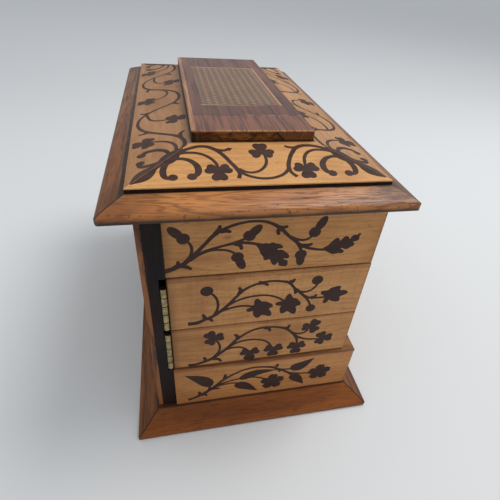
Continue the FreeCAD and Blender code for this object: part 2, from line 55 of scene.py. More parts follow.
class Shade:
    """One number, vector or colour inside a finish, worked on with ordinary operators."""

    def __init__(self, finish, socket):
        self.finish = finish
        self.socket = socket

    def maths(self, operation, *terms):
        return self.finish.add("ShaderNodeMath", dict(enumerate(terms)), operation=operation)

    def __add__(self, other):
        return self.maths("ADD", self, other)

    def __sub__(self, other):
        return self.maths("SUBTRACT", self, other)

    def __rsub__(self, other):
        return self.maths("SUBTRACT", other, self)

    def __mul__(self, other):
        return self.maths("MULTIPLY", self, other)

    __radd__ = __add__

    def sine(self):
        return self.maths("SINE", self)

    def size(self):
        return self.maths("ABSOLUTE", self)

    def highest(self, other):
        return self.maths("MAXIMUM", self, other)

    def between(self, low, high):
        """0 below low and 1 above high, with an eased step between them."""
        sockets = {"Value": self, "From Min": low, "From Max": high}
        return self.finish.add("ShaderNodeMapRange", sockets, interpolation_type="SMOOTHSTEP")

    def below(self, high, low):
        """1 below low and 0 above high."""
        return 1 - self.between(low, high)


class Finish:
    """A material that is built up node by node and ends in one surface."""

    def __init__(self, name):
        self.material = bpy.data.materials.new(name)
        self.material.use_nodes = True
        self.tree = self.material.node_tree
        self.tree.nodes.clear()
        self.place = self.add("ShaderNodeTexCoord", output="Object")
        axes = [self.add("ShaderNodeSeparateXYZ", {0: self.place}, output=axis) for axis in "XYZ"]
        self.x, self.y, self.z = axes

    def add(self, kind, sockets=None, output=0, **settings):
        node = self.tree.nodes.new(kind)
        for name, value in settings.items():
            setattr(node, name, value)
        for name, value in (sockets or {}).items():
            if isinstance(value, Shade):
                self.tree.links.new(value.socket, node.inputs[name])
            else:
                node.inputs[name].default_value = value
        return Shade(self, node.outputs[output]) if node.outputs else None

    def stretched(self, per_metre, shift=(0, 0, 0)):
        """The place on the piece, counted in pattern widths along each axis."""
        moved = self.add("ShaderNodeVectorMath", {0: self.place, 1: shift}, operation="ADD")
        return self.add("ShaderNodeVectorMath", {0: moved, 1: per_metre}, operation="MULTIPLY")

    def cloud(self, per_metre, detail=2.0, rough=0.5, warp=0.0, shift=(0, 0, 0)):
        """Soft random variation from 0 to 1."""
        sockets = {"Vector": self.stretched(per_metre, shift), "Scale": 1.0, "Detail": detail}
        sockets.update({"Roughness": rough, "Distortion": warp})
        return self.add("ShaderNodeTexNoise", sockets)

    def blend(self, share, low, high):
        """The colour low where share is 0, and high where it is 1."""
        sockets = {0: share, 6: colour(low), 7: colour(high)}
        return self.add("ShaderNodeMix", sockets, output=2, data_type="RGBA")

    def surface(self, tint, roughness, height=None, depth=0.0, **fixed):
        """Ends the finish with a glossy coated surface, and gives the material."""
        sockets = {"Base Color": tint, "Roughness": roughness}
        sockets.update({name.replace("_", " "): value for name, value in fixed.items()})
        if height is not None:
            bump = {"Height": height, "Distance": depth, "Strength": 1.0}
            sockets["Normal"] = self.add("ShaderNodeBump", bump)
        shader = self.add("ShaderNodeBsdfPrincipled", sockets)
        self.add("ShaderNodeOutputMaterial", {"Surface": shader})
        return self.material


def colour(tint):
    """A colour that a socket takes, with its full cover added to a plain one."""
    return tint if isinstance(tint, Shade) else (*tint, 1.0)


def grain_scale(along, lengthways, across):
    """Pattern widths per metre for a board whose grain runs along one axis."""
    return tuple(lengthways if axis == along else across for axis in "XYZ")


def moulding_wood(name, along, pale, middle, dark, figure, splits=0.0, seed=0.0):
    """Waxed chestnut-coloured wood. Figure is how bold its growth lines are, and splits how many
    dark checks it has."""
    wood = Finish(name)
    shift = (seed, seed * 1.7, seed * 0.6)
    flow = wood.cloud(grain_scale(along, 7, 48), 3, 0.5, 0.8, shift)
    growth = ((flow * 62).sine() * 0.5 + 0.5).between(0.45, 1.0)
    streak = wood.cloud(grain_scale(along, 7, 130), 3, 0.55, 0.5, shift)
    fibre = wood.cloud(grain_scale(along, 30, 1500), 2, 0.6, 0.0, shift)
    pore = wood.cloud(grain_scale(along, 70, 1600), 1, 0.5, 0.0, shift).between(0.6, 0.68)
    smoke = wood.cloud((38, 38, 38), 3, 0.6, 0.5, shift)
    tint = wood.blend(flow.between(0.3, 0.7), middle, pale)
    tint = wood.blend(growth * (0.25 + smoke) * figure * 0.7, tint, dark)
    tint = wood.blend(streak.between(0.5, 0.66) * figure * 0.8, tint, dark)
    tint = wood.blend(fibre * 0.3 + pore * 0.5, tint, dark)
    tint = wood.blend(smoke.between(0.55, 0.8) * 0.4, tint, dark)
    check_shift = (seed * 2.3, seed, seed * 1.1)
    check = wood.cloud(grain_scale(along, 22, 520), 3, 0.6, 0.3, check_shift).between(0.57, 0.66)
    here_and_there = wood.cloud(grain_scale(along, 30, 60), 2, 0.5, 0.0, shift).between(0.4, 0.55)
    check = check * here_and_there * splits
    tint = wood.blend(check, tint, (0.03, 0.012, 0.006))
    return wood, tint, smoke, fibre * 0.4 + streak * 0.3 - pore * 0.5 - check


def waxed(wood, tint, smoke, height, shine, roughness=0.3):
    """Closes a moulding's finish with a waxed coat, duller where smoke has settled."""
    bumps = 0.12 * mm
    return wood.surface(tint, roughness + smoke * 0.16, height, bumps, Specular_IOR_Level=shine)


def mitre_dirt(wood, outline, width):
    """1 along the four mitres of a frame with this outline."""
    low, high = outline
    across = (wood.x - (low.x + high.x) / 2).size() - (high.x - low.x) / 2
    down = (wood.y - (low.y + high.y) / 2).size() - (high.y - low.y) / 2
    return (across - down).size().below(width, width * 0.4)


def finish_node(material, *names):
    """Gives CAD nodes their material."""
    for name in names:
        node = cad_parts[name]
        node.data.materials.clear()
        node.data.materials.append(material)


plinth_low = Vector(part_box("plinth_left")[0])
plinth_high = Vector(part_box("plinth_right")[1])
end_plinth = ((0.28, 0.086, 0.019), (0.21, 0.061, 0.013), (0.07, 0.02, 0.006))
# Painted sheen: the long rails are cooler and greyer than the ends, as glancing light makes them.
long_plinth = ((0.26, 0.1, 0.034), (0.19, 0.066, 0.02), (0.05, 0.018, 0.008))
plinth_rails = (
    ("front", "X", long_plinth, 0.7, 1),
    ("back", "X", long_plinth, 0.9, 2),
    ("left", "Y", end_plinth, 0.3, 3),
    ("right", "Y", end_plinth, 0.3, 4),
)
for side, along, tones, figure, seed in plinth_rails:
    wood, tint, smoke, height = moulding_wood(f"plinth wood {side}", along, *tones, figure, seed=seed)
    foot = (wood.z + smoke * (1.6 * mm)).below(2.4 * mm, 1.2 * mm)
    # Painted shade: a dark line along the top, where the rails meet the case.
    head_shade = (wood.z + smoke * mm).between(plinth_high.z - 0.4 * mm, plinth_high.z + 0.3 * mm)
    scratch = wood.cloud(grain_scale(along, 60, 240), 3, 0.7, 0.6, (seed, seed, 0)).between(0.66, 0.7)
    mitre = mitre_dirt(wood, (plinth_low, plinth_high), 1.0 * mm)
    # Grime along the foot, the mitres and the scratches, and the painted shade line along the top.
    dirt_and_shade = foot.highest(head_shade).highest(mitre).highest(scratch * 0.6)
    tint = wood.blend(dirt_and_shade * 0.75, tint, (0.025, 0.011, 0.007))
    finish_node(waxed(wood, tint, smoke, height, 0.15, 0.36), f"plinth_{side}")

# Base case
# A fixed case under the trays: veneered ends, a moulded top board that shows as a brown strip,
# and a plain bottom. The ends are faced with a pale straight veneer and waxed to a honey colour.

honey_veneer = ((0.6, 0.31, 0.118), (0.5, 0.24, 0.083), (0.26, 0.1, 0.032))
# A darker tone of the honey veneer; on the upper case end it partly stands for painted shade under the
# lid.
darker_veneer = ((0.55, 0.272, 0.097), (0.45, 0.206, 0.066), (0.22, 0.08, 0.024))
orange_veneer = ((0.54, 0.255, 0.086), (0.45, 0.192, 0.06), (0.24, 0.082, 0.024))
grime = (1.2 * mm, 0.65)
# Painted shade: a faint darkening over the last 50 mm towards the back of an end.
back_shade = (50 * mm, 0.16)


def pale_veneer(
    name, along, tones=honey_veneer, knots=(), ripple=0.0, strip=None, dim_edges=(), seed=0.0, shine=0.2
):
    """Honey-coloured veneer with fine straight grain, flecks, small knots and old grime. Each dim
    edge is an axis, a place on it, the way in from there, and the width and strength of its darkening,
    which is grime on some edges and painted shade on others."""
    pale, middle, dark = tones
    wood = Finish(name)
    shift = (seed, seed * 0.7, seed * 1.3)
    across = {"X": wood.z + wood.y, "Y": wood.z + wood.x}[along]
    drift = wood.cloud(grain_scale(along, 9, 42), 3, 0.5, 0.5, shift)
    lines = (across * 1100 + drift * 34).sine() * 0.5 + 0.5
    lines = lines * wood.cloud((22, 22, 22), 1, 0.5, 0.0, shift)
    fibre = wood.cloud(grain_scale(along, 55, 1300), 2, 0.6, 0.0, shift)
    fleck = wood.cloud(grain_scale(along, 260, 1500), 1, 0.5, 0.0, shift).between(0.62, 0.72)
    patch = wood.cloud((26, 26, 26), 3, 0.6, 0.3, shift)
    tint = wood.blend(drift.between(0.3, 0.7), middle, pale)
    tint = wood.blend(lines.between(0.1, 0.7) * 0.34, tint, dark)
    tint = wood.blend(fibre.between(0.35, 0.7) * 0.26 + fleck * 0.5, tint, dark)
    tint = wood.blend(patch.between(0.48, 0.75) * 0.42, tint, dark)
    if ripple:
        cross = wood.cloud(grain_scale(along, 560, 30), 2, 0.5, 0.0, shift)
        tint = wood.blend(cross.between(0.45, 0.6) * ripple, tint, dark)
    for centre, radius in knots:
        offset = wood.add("ShaderNodeVectorMath", {0: wood.place, 1: centre}, operation="SUBTRACT")
        oval = wood.add("ShaderNodeVectorMath", {0: offset, 1: (1, 0.7, 1.3)}, operation="MULTIPLY")
        away = wood.add("ShaderNodeVectorMath", {0: oval}, output="Value", operation="LENGTH")
        away = away + fibre * (1.2 * mm)
        rings = (away * 5200).sine() * 0.25 + 0.5
        tint = wood.blend(away.below(radius, radius * 0.3) * rings, tint, (0.1, 0.035, 0.015))
    if strip is not None:
        edge = (wood.z + patch * (1.2 * mm)).between(strip - 0.3 * mm, strip + 0.5 * mm)
        tint = wood.blend(edge * (0.2 + fleck * 0.3 + patch * 0.35), tint, (0.17, 0.055, 0.02))
    # Darkening along edges: grime along feet and fronts, painted shade towards the back, under the lid
    # and beside the hinges.
    for axis, at, inward, width, strength in dim_edges:
        span = {"y": wood.y, "z": wood.z, "x": wood.x}[axis]
        near = ((span - at) * inward + patch * (width * 0.8)).below(width * 1.5, width * 0.4)
        tint = wood.blend(near * (patch * 0.5 + 0.75) * strength, tint, (0.05, 0.019, 0.01))
    roughness = 0.36 + patch * 0.14 + fleck * 0.1
    height = fibre * 0.5 + lines * 0.2 - fleck * 0.4
    return wood.surface(tint, roughness, height, 0.06 * mm, Specular_IOR_Level=shine)


def plain_wood(name, along, pale, dark, seed=0.0):
    """Unpolished secondary wood of the insides, with open straight grain."""
    wood = Finish(name)
    shift = (seed, seed, seed)
    ring = wood.cloud(grain_scale(along, 4, 120), 3, 0.6, 0.5, shift)
    fibre = wood.cloud(grain_scale(along, 40, 1400), 2, 0.6, 0.0, shift)
    tint = wood.blend(ring.between(0.35, 0.65), pale, dark)
    tint = wood.blend(fibre * 0.35, tint, dark)
    return wood.surface(tint, 0.6 + ring * 0.15, fibre, 0.08 * mm, Specular_IOR_Level=0.3)


base_low, base_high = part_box("base_left_end")
base_edges = (
    ("z", base_low.z, 1, *grime),
    ("y", base_low.y, 1, *grime),
    ("y", base_high.y, -1, *back_shade),
)
base_end = pale_veneer("base left end veneer", "Y", orange_veneer, dim_edges=base_edges, seed=4)
finish_node(base_end, "base_left_end")
finish_node(pale_veneer("base right end veneer", "Y", orange_veneer, seed=14), "base_right_end")
strip_brown = ((0.36, 0.16, 0.055), (0.26, 0.1, 0.033), (0.08, 0.026, 0.012))
finish_node(waxed(*moulding_wood("base top wood", "Y", *strip_brown, 0.8, seed=5), 0.2), "base_top")
inner_wood = ((0.46, 0.27, 0.12), (0.27, 0.13, 0.05))
finish_node(plain_wood("bottom board wood", "X", *inner_wood), "bottom_board")

# Back
# A thick ebonised board behind the tiers, with a red brown veneer on its outer side. Its end
# shows as a dark post, pitted along the joint with the veneer.

ebony = Finish("ebonised wood")
ebony_grain = ebony.cloud((1100, 1100, 30), 3, 0.6)
ebony_rub = ebony.cloud((60, 60, 14), 3, 0.6, 0.6)
ebony_rubbed = ebony_rub.between(0.42, 0.66) * 0.85
ebony_tint = ebony.blend(ebony_rubbed, (0.006, 0.004, 0.004), (0.02, 0.009, 0.006))
ebony_tint = ebony.blend(ebony_grain.between(0.5, 0.75) * 0.5, ebony_tint, (0.028, 0.014, 0.01))
ebonised = ebony.surface(
    ebony_tint, 0.4 + ebony_rub * 0.2, ebony_grain, 0.08 * mm, Specular_IOR_Level=0.14
)
finish_node(ebonised, "back_board")

facing_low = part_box("back_facing")[0]
pit_step = 7.5 * mm
facing = Finish("back veneer")
facing_flow = facing.cloud((30, 30, 6), 3, 0.55, 0.9)
facing_figure = ((facing_flow * 50).sine() * 0.5 + 0.5).between(0.5, 1.0)
facing_fibre = facing.cloud((1500, 1500, 40), 2)
facing_tint = facing.blend(facing_flow.between(0.35, 0.65), (0.2, 0.078, 0.03), (0.1, 0.034, 0.013))
facing_tint = facing.blend(facing_figure * 0.6 + facing_fibre * 0.3, facing_tint, (0.06, 0.02, 0.01))
pit = (facing.z * (2 * math.pi / pit_step)).sine().between(0.82, 0.95)
pit = pit * facing.y.below(facing_low.y + 0.9 * mm, facing_low.y + 0.3 * mm)
facing_tint = facing.blend(pit, facing_tint, (0.01, 0.006, 0.005))
facing_edge = facing.x.below(facing_low.x + 0.6 * mm, facing_low.x + 0.1 * mm)
facing_edge = facing_edge * facing.cloud((200, 200, 25), 2).between(0.4, 0.55)
facing_tint = facing.blend(facing_edge * 0.6, facing_tint, (0.34, 0.13, 0.045))
facing_wax = facing.surface(
    facing_tint, 0.4 + facing_flow * 0.15, facing_fibre, 0.1 * mm, Specular_IOR_Level=0.25
)
finish_node(facing_wax, "back_facing")

# Drawer
# A front veneered like the ends, sides and back of plain wood dovetailed to it, a thin bottom in
# grooves and two turned brass knobs. It is lined with velvet.


def tier_veneer(front, seed, tones=honey_veneer):
    """The veneer of a front, dirty along its foot and at both ends."""
    low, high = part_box(front)
    edges = (("z", low.z, 1, *grime), ("x", low.x, 1, *grime), ("x", high.x, -1, *grime))
    finish_node(pale_veneer(f"{front} veneer", "X", tones, dim_edges=edges, seed=seed), front)


tier_veneer("drawer_front", 24, orange_veneer)
side_wood = plain_wood("drawer side wood", "Y", *inner_wood, 2)
finish_node(side_wood, "drawer_left_side", "drawer_right_side", "drawer_bottom")
finish_node(plain_wood("drawer back wood", "X", *inner_wood, 3), "drawer_back")
knuckle_step = 7.66 * mm


def old_brass(name, pale, dull, seed=0.0, barrels=()):
    """Aged brass, dull in its hollows. A barrel is the foot of a hinge, with painted shade between its
    knuckles and on the leaf beside it."""
    metal = Finish(name)
    stain = metal.cloud((260, 260, 260), 4, 0.65, 0.6, (seed, seed, seed))
    speck = metal.cloud((1500, 1500, 1500), 2, 0.6)
    tint = metal.blend(stain.between(0.35, 0.68), pale, dull)
    tint = metal.blend(speck.between(0.62, 0.75) * 0.6, tint, (0.07, 0.05, 0.025))
    # Painted shade between the knuckles and on the leaf beside the barrel.
    for foot_y, foot_z in barrels:
        head_z = foot_z + 5 * knuckle_step
        turn = (metal.z - foot_z) * (2 * math.pi / knuckle_step) + math.pi / 2
        flank = (metal.y - foot_y).size().between(1.4 * mm, 2.1 * mm)
        reach = metal.z.between(foot_z - 1.0 * mm, foot_z) * metal.z.below(head_z + 1.0 * mm, head_z)
        knuckle_shade = turn.sine().between(0.88, 0.97).highest(flank) * reach
        tint = metal.blend(knuckle_shade * 0.85, tint, (0.02, 0.016, 0.009))
    roughness = 0.34 + stain * 0.25 + speck * 0.1
    return metal.surface(tint, roughness, stain + speck * 0.4, 0.08 * mm, Metallic=0.85)


knob_brass = old_brass("knob brass", (0.72, 0.55, 0.27), (0.4, 0.28, 0.12))
finish_node(knob_brass, "drawer_knobs", "lower_tray_knob", "upper_tray_knob")


def velvet(name, deep=(0.16, 0.012, 0.03), bright=(0.34, 0.035, 0.07)):
    """Crimson velvet whose short pile lies in cloudy patches."""
    cloth = Finish(name)
    lay = cloth.cloud((38, 38, 38), 3, 0.55, 0.5)
    pile = cloth.cloud((2600, 2600, 2600), 2, 0.6)
    tint = cloth.blend(lay.between(0.3, 0.7) * 0.7 + pile * 0.3, deep, bright)
    fixed = {"Sheen_Weight": 0.6, "Sheen_Roughness": 0.4, "Specular_IOR_Level": 0.1}
    return cloth.surface(tint, 0.85 + pile * 0.1, pile + lay * 0.5, 0.25 * mm, **fixed)


lining_velvet = velvet("lining velvet")


def only(piece):
    """Selects one piece and nothing else."""
    bpy.ops.object.select_all(action="DESELECT")
    piece.select_set(True)
    bpy.context.view_layer.objects.active = piece


def take_modifier(piece, kind, **settings):
    """Adds one modifier to a piece and applies it."""
    only(piece)
    modifier = piece.modifiers.new(kind, kind)
    for name, value in settings.items():
        setattr(modifier, name, value)
    bpy.ops.object.modifier_apply(modifier=modifier.name)


def pick_in_edit_mode(piece, parts, wanted):
    """Picks the faces or edges that are wanted, and goes into edit mode with them."""
    bpy.ops.object.mode_set(mode="EDIT")
    bpy.ops.mesh.select_all(action="DESELECT")
    bpy.ops.object.mode_set(mode="OBJECT")
    for part in getattr(piece.data, parts):
        part.select = wanted(part)
    bpy.ops.object.mode_set(mode="EDIT")


def velvet_box(name, node, body):
    """A velvet lining: a floor and four walls in one skin, soft in its corners."""
    low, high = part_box(node)
    bpy.ops.object.select_all(action="DESELECT")
    bpy.ops.mesh.primitive_cube_add(size=1, location=(low + high) / 2, scale=high - low)
    lining = bpy.context.object
    lining.name = name
    bpy.ops.object.transform_apply(location=True, rotation=True, scale=True)
    pick_in_edit_mode(lining, "polygons", lambda face: face.normal.z > 0.9)
    bpy.ops.mesh.delete(type="FACE")
    bpy.ops.object.mode_set(mode="OBJECT")
    corners = lining.data.vertices
    rim = high.z - 0.01 * mm
    pick_in_edit_mode(lining, "edges", lambda edge: min(corners[end].co.z for end in edge.vertices) < rim)
    bpy.ops.mesh.bevel(offset=2.2 * mm, segments=4, affect="EDGES")
    bpy.ops.mesh.select_all(action="SELECT")
    bpy.ops.mesh.normals_make_consistent(inside=False)
    bpy.ops.object.mode_set(mode="OBJECT")
    take_modifier(lining, "SOLIDIFY", thickness=1.0 * mm, offset=-1)
    take_modifier(lining, "BEVEL", width=0.35 * mm, segments=2, limit_method="ANGLE")
    bpy.ops.object.shade_smooth_by_angle(angle=math.radians(40))
    lining.data.materials.clear()
    lining.data.materials.append(lining_velvet)
    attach(lining, body)
    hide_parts(node)


velvet_box("drawer_velvet", "drawer_lining", "drawer")

# Trays
# Two shallow trays, one above the other, that swing out about the left back corner. Ends and
# front are veneered, the rest is plain, and thin partitions stand on the velvet lining.

nail_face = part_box("upper_tray_left_end")[0].x
nails = ((-50.5, 144.6), (-62.5, 143.4), (-67.5, 130.9), (-67.8, 121.0), (-61.8, 115.0), (-66.6, 113.2))
nail_marks = tuple(((nail_face, y * mm, z * mm), 0.9 * mm) for y, z in nails)
tray_wood = plain_wood("tray wood", "X", *inner_wood, 5)
partition_wood = plain_wood("partition wood", "Y", (0.3, 0.14, 0.055), (0.17, 0.07, 0.028), 6)
trays = (
    ("lower_tray", (), darker_veneer, 0.06, 0.05, 1.6 * mm, 3),
    ("upper_tray", nail_marks, honey_veneer, 0.16, 0.14, 2.8 * mm, 2),
)
for tray, marks, tones, left_ripple, right_ripple, strip_width, seed in trays:
    tray_low, tray_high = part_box(f"{tray}_left_end")
    strip = tray_high.z - strip_width
    # Grime along the front and foot, painted shade towards the back, and painted shade beside the hinge
    # barrel, near black next to it.
    edges = (
        ("y", tray_low.y, 1, *grime),
        ("z", tray_low.z, 1, *grime),
        ("y", tray_high.y, -1, *back_shade),
        ("y", tray_high.y, -1, 6 * mm, 0.4),
        ("y", tray_high.y, -1, 1.2 * mm, 0.95),
    )
    left_veneer = pale_veneer(
        f"{tray} left end veneer", "Y", tones, marks, left_ripple, strip, edges, seed
    )
    finish_node(left_veneer, f"{tray}_left_end")
    right_veneer = pale_veneer(
        f"{tray} right end veneer", "Y", ripple=right_ripple, strip=strip, seed=seed + 10
    )
    finish_node(right_veneer, f"{tray}_right_end")
    tier_veneer(f"{tray}_front", seed + 20)
    finish_node(tray_wood, f"{tray}_back", f"{tray}_bottom")
    finish_node(partition_wood, f"{tray}_dividers")
    velvet_box(f"{tray}_velvet", f"{tray}_lining", tray)

# Upper case
# The fixed case under the lid. Its front holds a small lock with a brass escutcheon, and its well
# is lined with velvet and parted by two partitions.

case_low, case_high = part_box("upper_left_end")
case_knots = (
    ((case_low.x, 28.6 * mm, 179.6 * mm), 3.4 * mm),
    ((case_low.x, 10.5 * mm, 165.2 * mm), 1.5 * mm),
)
# Grime along the front and foot, painted shadow of the lid's overhang along the top, painted shade
# towards the back, and darker near the back edge.
case_edges = (
    ("y", case_low.y, 1, 1.6 * mm, 0.65),
    ("z", case_low.z, 1, *grime),
    ("z", case_high.z, -1, 4 * mm, 0.4),
    ("y", case_high.y, -1, 50 * mm, 0.2),
    ("y", case_high.y, -1, 6 * mm, 0.3),
)
case_end = pale_veneer(
    "upper case left end veneer", "Y", darker_veneer, case_knots, dim_edges=case_edges, seed=1
)
finish_node(case_end, "upper_left_end")
finish_node(pale_veneer("upper case right end veneer", "Y", seed=11), "upper_right_end")
tier_veneer("upper_front", 21)
finish_node(plain_wood("upper floor wood", "X", *inner_wood, 7), "upper_floor")
finish_node(partition_wood, "well_dividers")
velvet_box("well_velvet", "well_lining", "case")
plate_brass = old_brass("lock plate brass", (0.66, 0.5, 0.25), (0.36, 0.26, 0.12), 3)
finish_node(plate_brass, "keyhole_escutcheon", "lock_case", "lock_link_plate")

steel = Finish("lock steel")
steel_file = steel.cloud((2200, 60, 60), 2)
steel_stain = steel.cloud((300, 300, 300), 3)
steel_tint = steel.blend(steel_stain.between(0.4, 0.7), (0.42, 0.41, 0.4), (0.2, 0.15, 0.12))
filed_steel = steel.surface(steel_tint, 0.35 + steel_file * 0.2, steel_file, 0.05 * mm, Metallic=0.9)
finish_node(filed_steel, "lock_bolt")

# Ring cushion
# Six velvet rolls stuffed with wadding and stitched side by side to one ground, so that rings
# stand in the clefts between them.

cushion_low, cushion_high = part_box("ring_cushion")
roll_count = 6
roll_pitch = (cushion_high.y - cushion_low.y) / roll_count
roll_height = cushion_high.z - cushion_low.z
roll_length = cushion_high.x - cushion_low.x
roll_cuts = 20


def stuffed_roll(name):
    """One roll of wadding in velvet: a long drum, full in the middle and gathered at its ends."""
    bpy.ops.object.select_all(action="DESELECT")
    ground = cushion_low.z
    middle = cushion_low + Vector((roll_length, roll_pitch, roll_height)) / 2
    bpy.ops.mesh.primitive_cylinder_add(
        vertices=24, radius=0.5, depth=roll_length, location=middle, rotation=(0, math.pi / 2, 0)
    )
    roll = bpy.context.object
    roll.name = name
    bpy.ops.object.transform_apply(location=True, rotation=True, scale=True)
    bpy.ops.object.mode_set(mode="EDIT")
    bpy.ops.mesh.select_all(action="SELECT")
    bpy.ops.transform.resize(value=(1, roll_pitch * 1.03, roll_height), center_override=middle)
    for cut in range(1, roll_cuts):
        bpy.ops.mesh.select_all(action="SELECT")
        place = (cushion_low.x + roll_length * cut / roll_cuts, 0, 0)
        bpy.ops.mesh.bisect(plane_co=place, plane_no=(1, 0, 0))
    bpy.ops.object.mode_set(mode="OBJECT")
    for corner in roll.data.vertices:
        along = 2 * (corner.co.x - middle.x) / roll_length
        full = 0.55 + 0.45 * max(0.0, 1 - abs(along) ** 6) ** 0.4
        crease = 1 + 0.012 * math.sin(corner.co.x * 900) * math.cos(corner.co.y * 700)
        corner.co.y = middle.y + (corner.co.y - middle.y) * (0.9 + 0.1 * full) * crease
        corner.co.z = ground + max((corner.co.z - ground) * full * crease, 0.0)
    take_modifier(roll, "BEVEL", width=1.2 * mm, segments=2, limit_method="ANGLE")
    take_modifier(roll, "SUBSURF", levels=1, render_levels=1)
    bpy.ops.object.shade_smooth()
    return roll


first_roll = stuffed_roll("ring_roll_1")
first_roll.data.materials.clear()
first_roll.data.materials.append(velvet("cushion velvet", (0.2, 0.016, 0.038), (0.4, 0.045, 0.085)))
rolls = [first_roll]
for number in range(2, roll_count + 1):
    roll = first_roll.copy()
    roll.data = first_roll.data.copy()
    roll.name = f"ring_roll_{number}"
    roll.data.transform(Matrix.Translation((0, roll_pitch * (number - 1), 0)))
    bpy.context.collection.objects.link(roll)
    rolls.append(roll)
for roll in rolls:
    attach(roll, "case")
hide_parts("ring_cushion")

# Hinges
# Cast brass butts of five knuckles at the trays' corner and at the back of the lid. They are let
# into the wood and greenish with age, with painted shade between the knuckles and beside the barrel.

tray_leaves = ("lower_tray_hinge_leaf", "upper_tray_hinge_leaf")
barrel_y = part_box("upper_tray_hinge_leaf")[1].y - 2.25 * mm
tray_hinge_feet = [(barrel_y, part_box(leaf)[0].z) for leaf in tray_leaves]
hinge_brass = old_brass("hinge brass", (0.46, 0.37, 0.19), (0.22, 0.17, 0.08), 5, tray_hinge_feet)
finish_node(hinge_brass, "hinge_fixed_leaves_and_pins", "lid_hinge_leaves", *tray_leaves)

# Lid moulding and board
# Four mitred rails with a rounded outer edge carry a thin ebonised board, whose edge frames the
# raised panel with a black line. The rails are waxed, pitted low down and darker towards the corners,
# with painted shade on their lower band, a painted shadow along the foot and a painted black band of
# edge and shade beside the board.

rail_low = Vector(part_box("lid_left_rail")[0])
rail_high = Vector(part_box("lid_right_rail")[1])
rail_low.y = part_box("lid_front_rail")[0].y
rail_high.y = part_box("lid_back_rail")[1].y
rail_outline = (rail_low, rail_high)
rail_middle = (rail_low + rail_high) / 2
rail_half = (rail_high - rail_low) / 2
rail_show = 14.7 * mm
# Painted light and shade: the long rails are darker copies of the end rails' tones.
end_rail = ((0.62, 0.252, 0.07), (0.45, 0.158, 0.037), (0.14, 0.043, 0.012))
long_rail = ((0.33, 0.135, 0.04), (0.23, 0.08, 0.021), (0.07, 0.022, 0.008))
lid_rails = (
    ("front", "X", long_rail, 0.8, 0.15, 3.2 * mm, 6),
    ("back", "X", long_rail, 0.8, 0.1, 3.2 * mm, 7),
    ("left", "Y", end_rail, 0.6, 0.36, 0.6 * mm, 8),
    ("right", "Y", end_rail, 0.6, 0.36, 0.6 * mm, 9),
)
for side, along, tones, splits, shine, board_edge_width, seed in lid_rails:
    wood, tint, smoke, height = moulding_wood(f"lid rail wood {side}", along, *tones, 1.0, splits, seed)
    # Darker towards the corners.
    toward_corners = mitre_dirt(wood, rail_outline, 30 * mm) * (smoke * 0.7 + 0.15)
    # Painted shade on the rail's lower, turned-under band.
    low_band_shade = (wood.z + smoke * (2 * mm)).below(rail_low.z + 8.5 * mm, rail_low.z + 3.5 * mm)
    tint = wood.blend(toward_corners.highest(low_band_shade * 0.45), tint, (0.07, 0.022, 0.008))
    # Painted shadow along the foot of the rail, under the lid.
    under = (wood.z + smoke * (2.8 * mm)).below(rail_low.z + 4.6 * mm, rail_low.z + 2.6 * mm)
    across = rail_half.x - (wood.x - rail_middle.x).size()
    down = rail_half.y - (wood.y - rail_middle.y).size()
    inward = (across * -1).highest(down * -1) * -1
    # Painted shade: a black band along the rail's inner edge, for the board's dark edge and the shade
    # beside it.
    board_edge_start = rail_show - board_edge_width
    board_edge_and_shade = (inward + smoke * (0.4 * mm)).between(board_edge_start, board_edge_start + 0.5 * mm)
    pits = wood.cloud((420, 420, 420), 2, 0.6, 0.3, (seed, seed, seed)).between(0.6, 0.68)
    pits = pits * (wood.z + smoke * (4 * mm)).below(rail_low.z + 9.5 * mm, rail_low.z + 5 * mm)
    # Pits and mitre joints are grime; the rest is painted shade.
    dirt_and_shade = board_edge_and_shade.highest(under).highest(pits * 0.8).highest(mitre_dirt(wood, rail_outline, 0.9 * mm))
    tint = wood.blend(dirt_and_shade * 0.9, tint, (0.018, 0.009, 0.006))
    finish_node(waxed(wood, tint, smoke, height * 1.6 + smoke, shine, 0.26), f"lid_{side}_rail")
finish_node(ebonised, "lid_board")

# Lid slopes
# Four mitred boards rise from the dark edge to the tablet. Their golden veneer has its grain along
# each board and is toned lighter or darker per slope as painted light and shade, with a painted
# shadow line along the foot of the tablet.

slope_low, slope_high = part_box("lid_left_slope")
slope_foot_z = slope_low.z + 0.7 * mm
# Painted light and shade: the left and right slopes are the lightest, the front darker, the back darkest.
end_gold = ((0.74, 0.4, 0.155), (0.62, 0.31, 0.105), (0.36, 0.14, 0.04))
back_gold = ((0.42, 0.205, 0.078), (0.33, 0.152, 0.053), (0.2, 0.076, 0.024))
front_gold = ((0.54, 0.28, 0.115), (0.43, 0.21, 0.078), (0.25, 0.1, 0.033))
# Painted shadow: a dark line along the top of each slope, at the foot of the tablet.
tablet_shadow_line = ("z", slope_high.z, -1, 0.3 * mm, 0.95)
lid_slopes = (
    ("front", "X", front_gold, 31),
    ("back", "X", back_gold, 32),
    ("left", "Y", end_gold, 33),
    ("right", "Y", end_gold, 34),
)
for side, along, tones, seed in lid_slopes:
    veneer = pale_veneer(
        f"lid slope veneer {side}", along, tones, dim_edges=(tablet_shadow_line,), seed=seed, shine=0.25
    )
    finish_node(veneer, f"lid_{side}_slope")

# Tablet
# A block of figured wood on the lid, veneered on top in dark rosewood between pale lines. Its
# field holds a parquetry of lozenges in three brown woods that reads as stacked cubes.

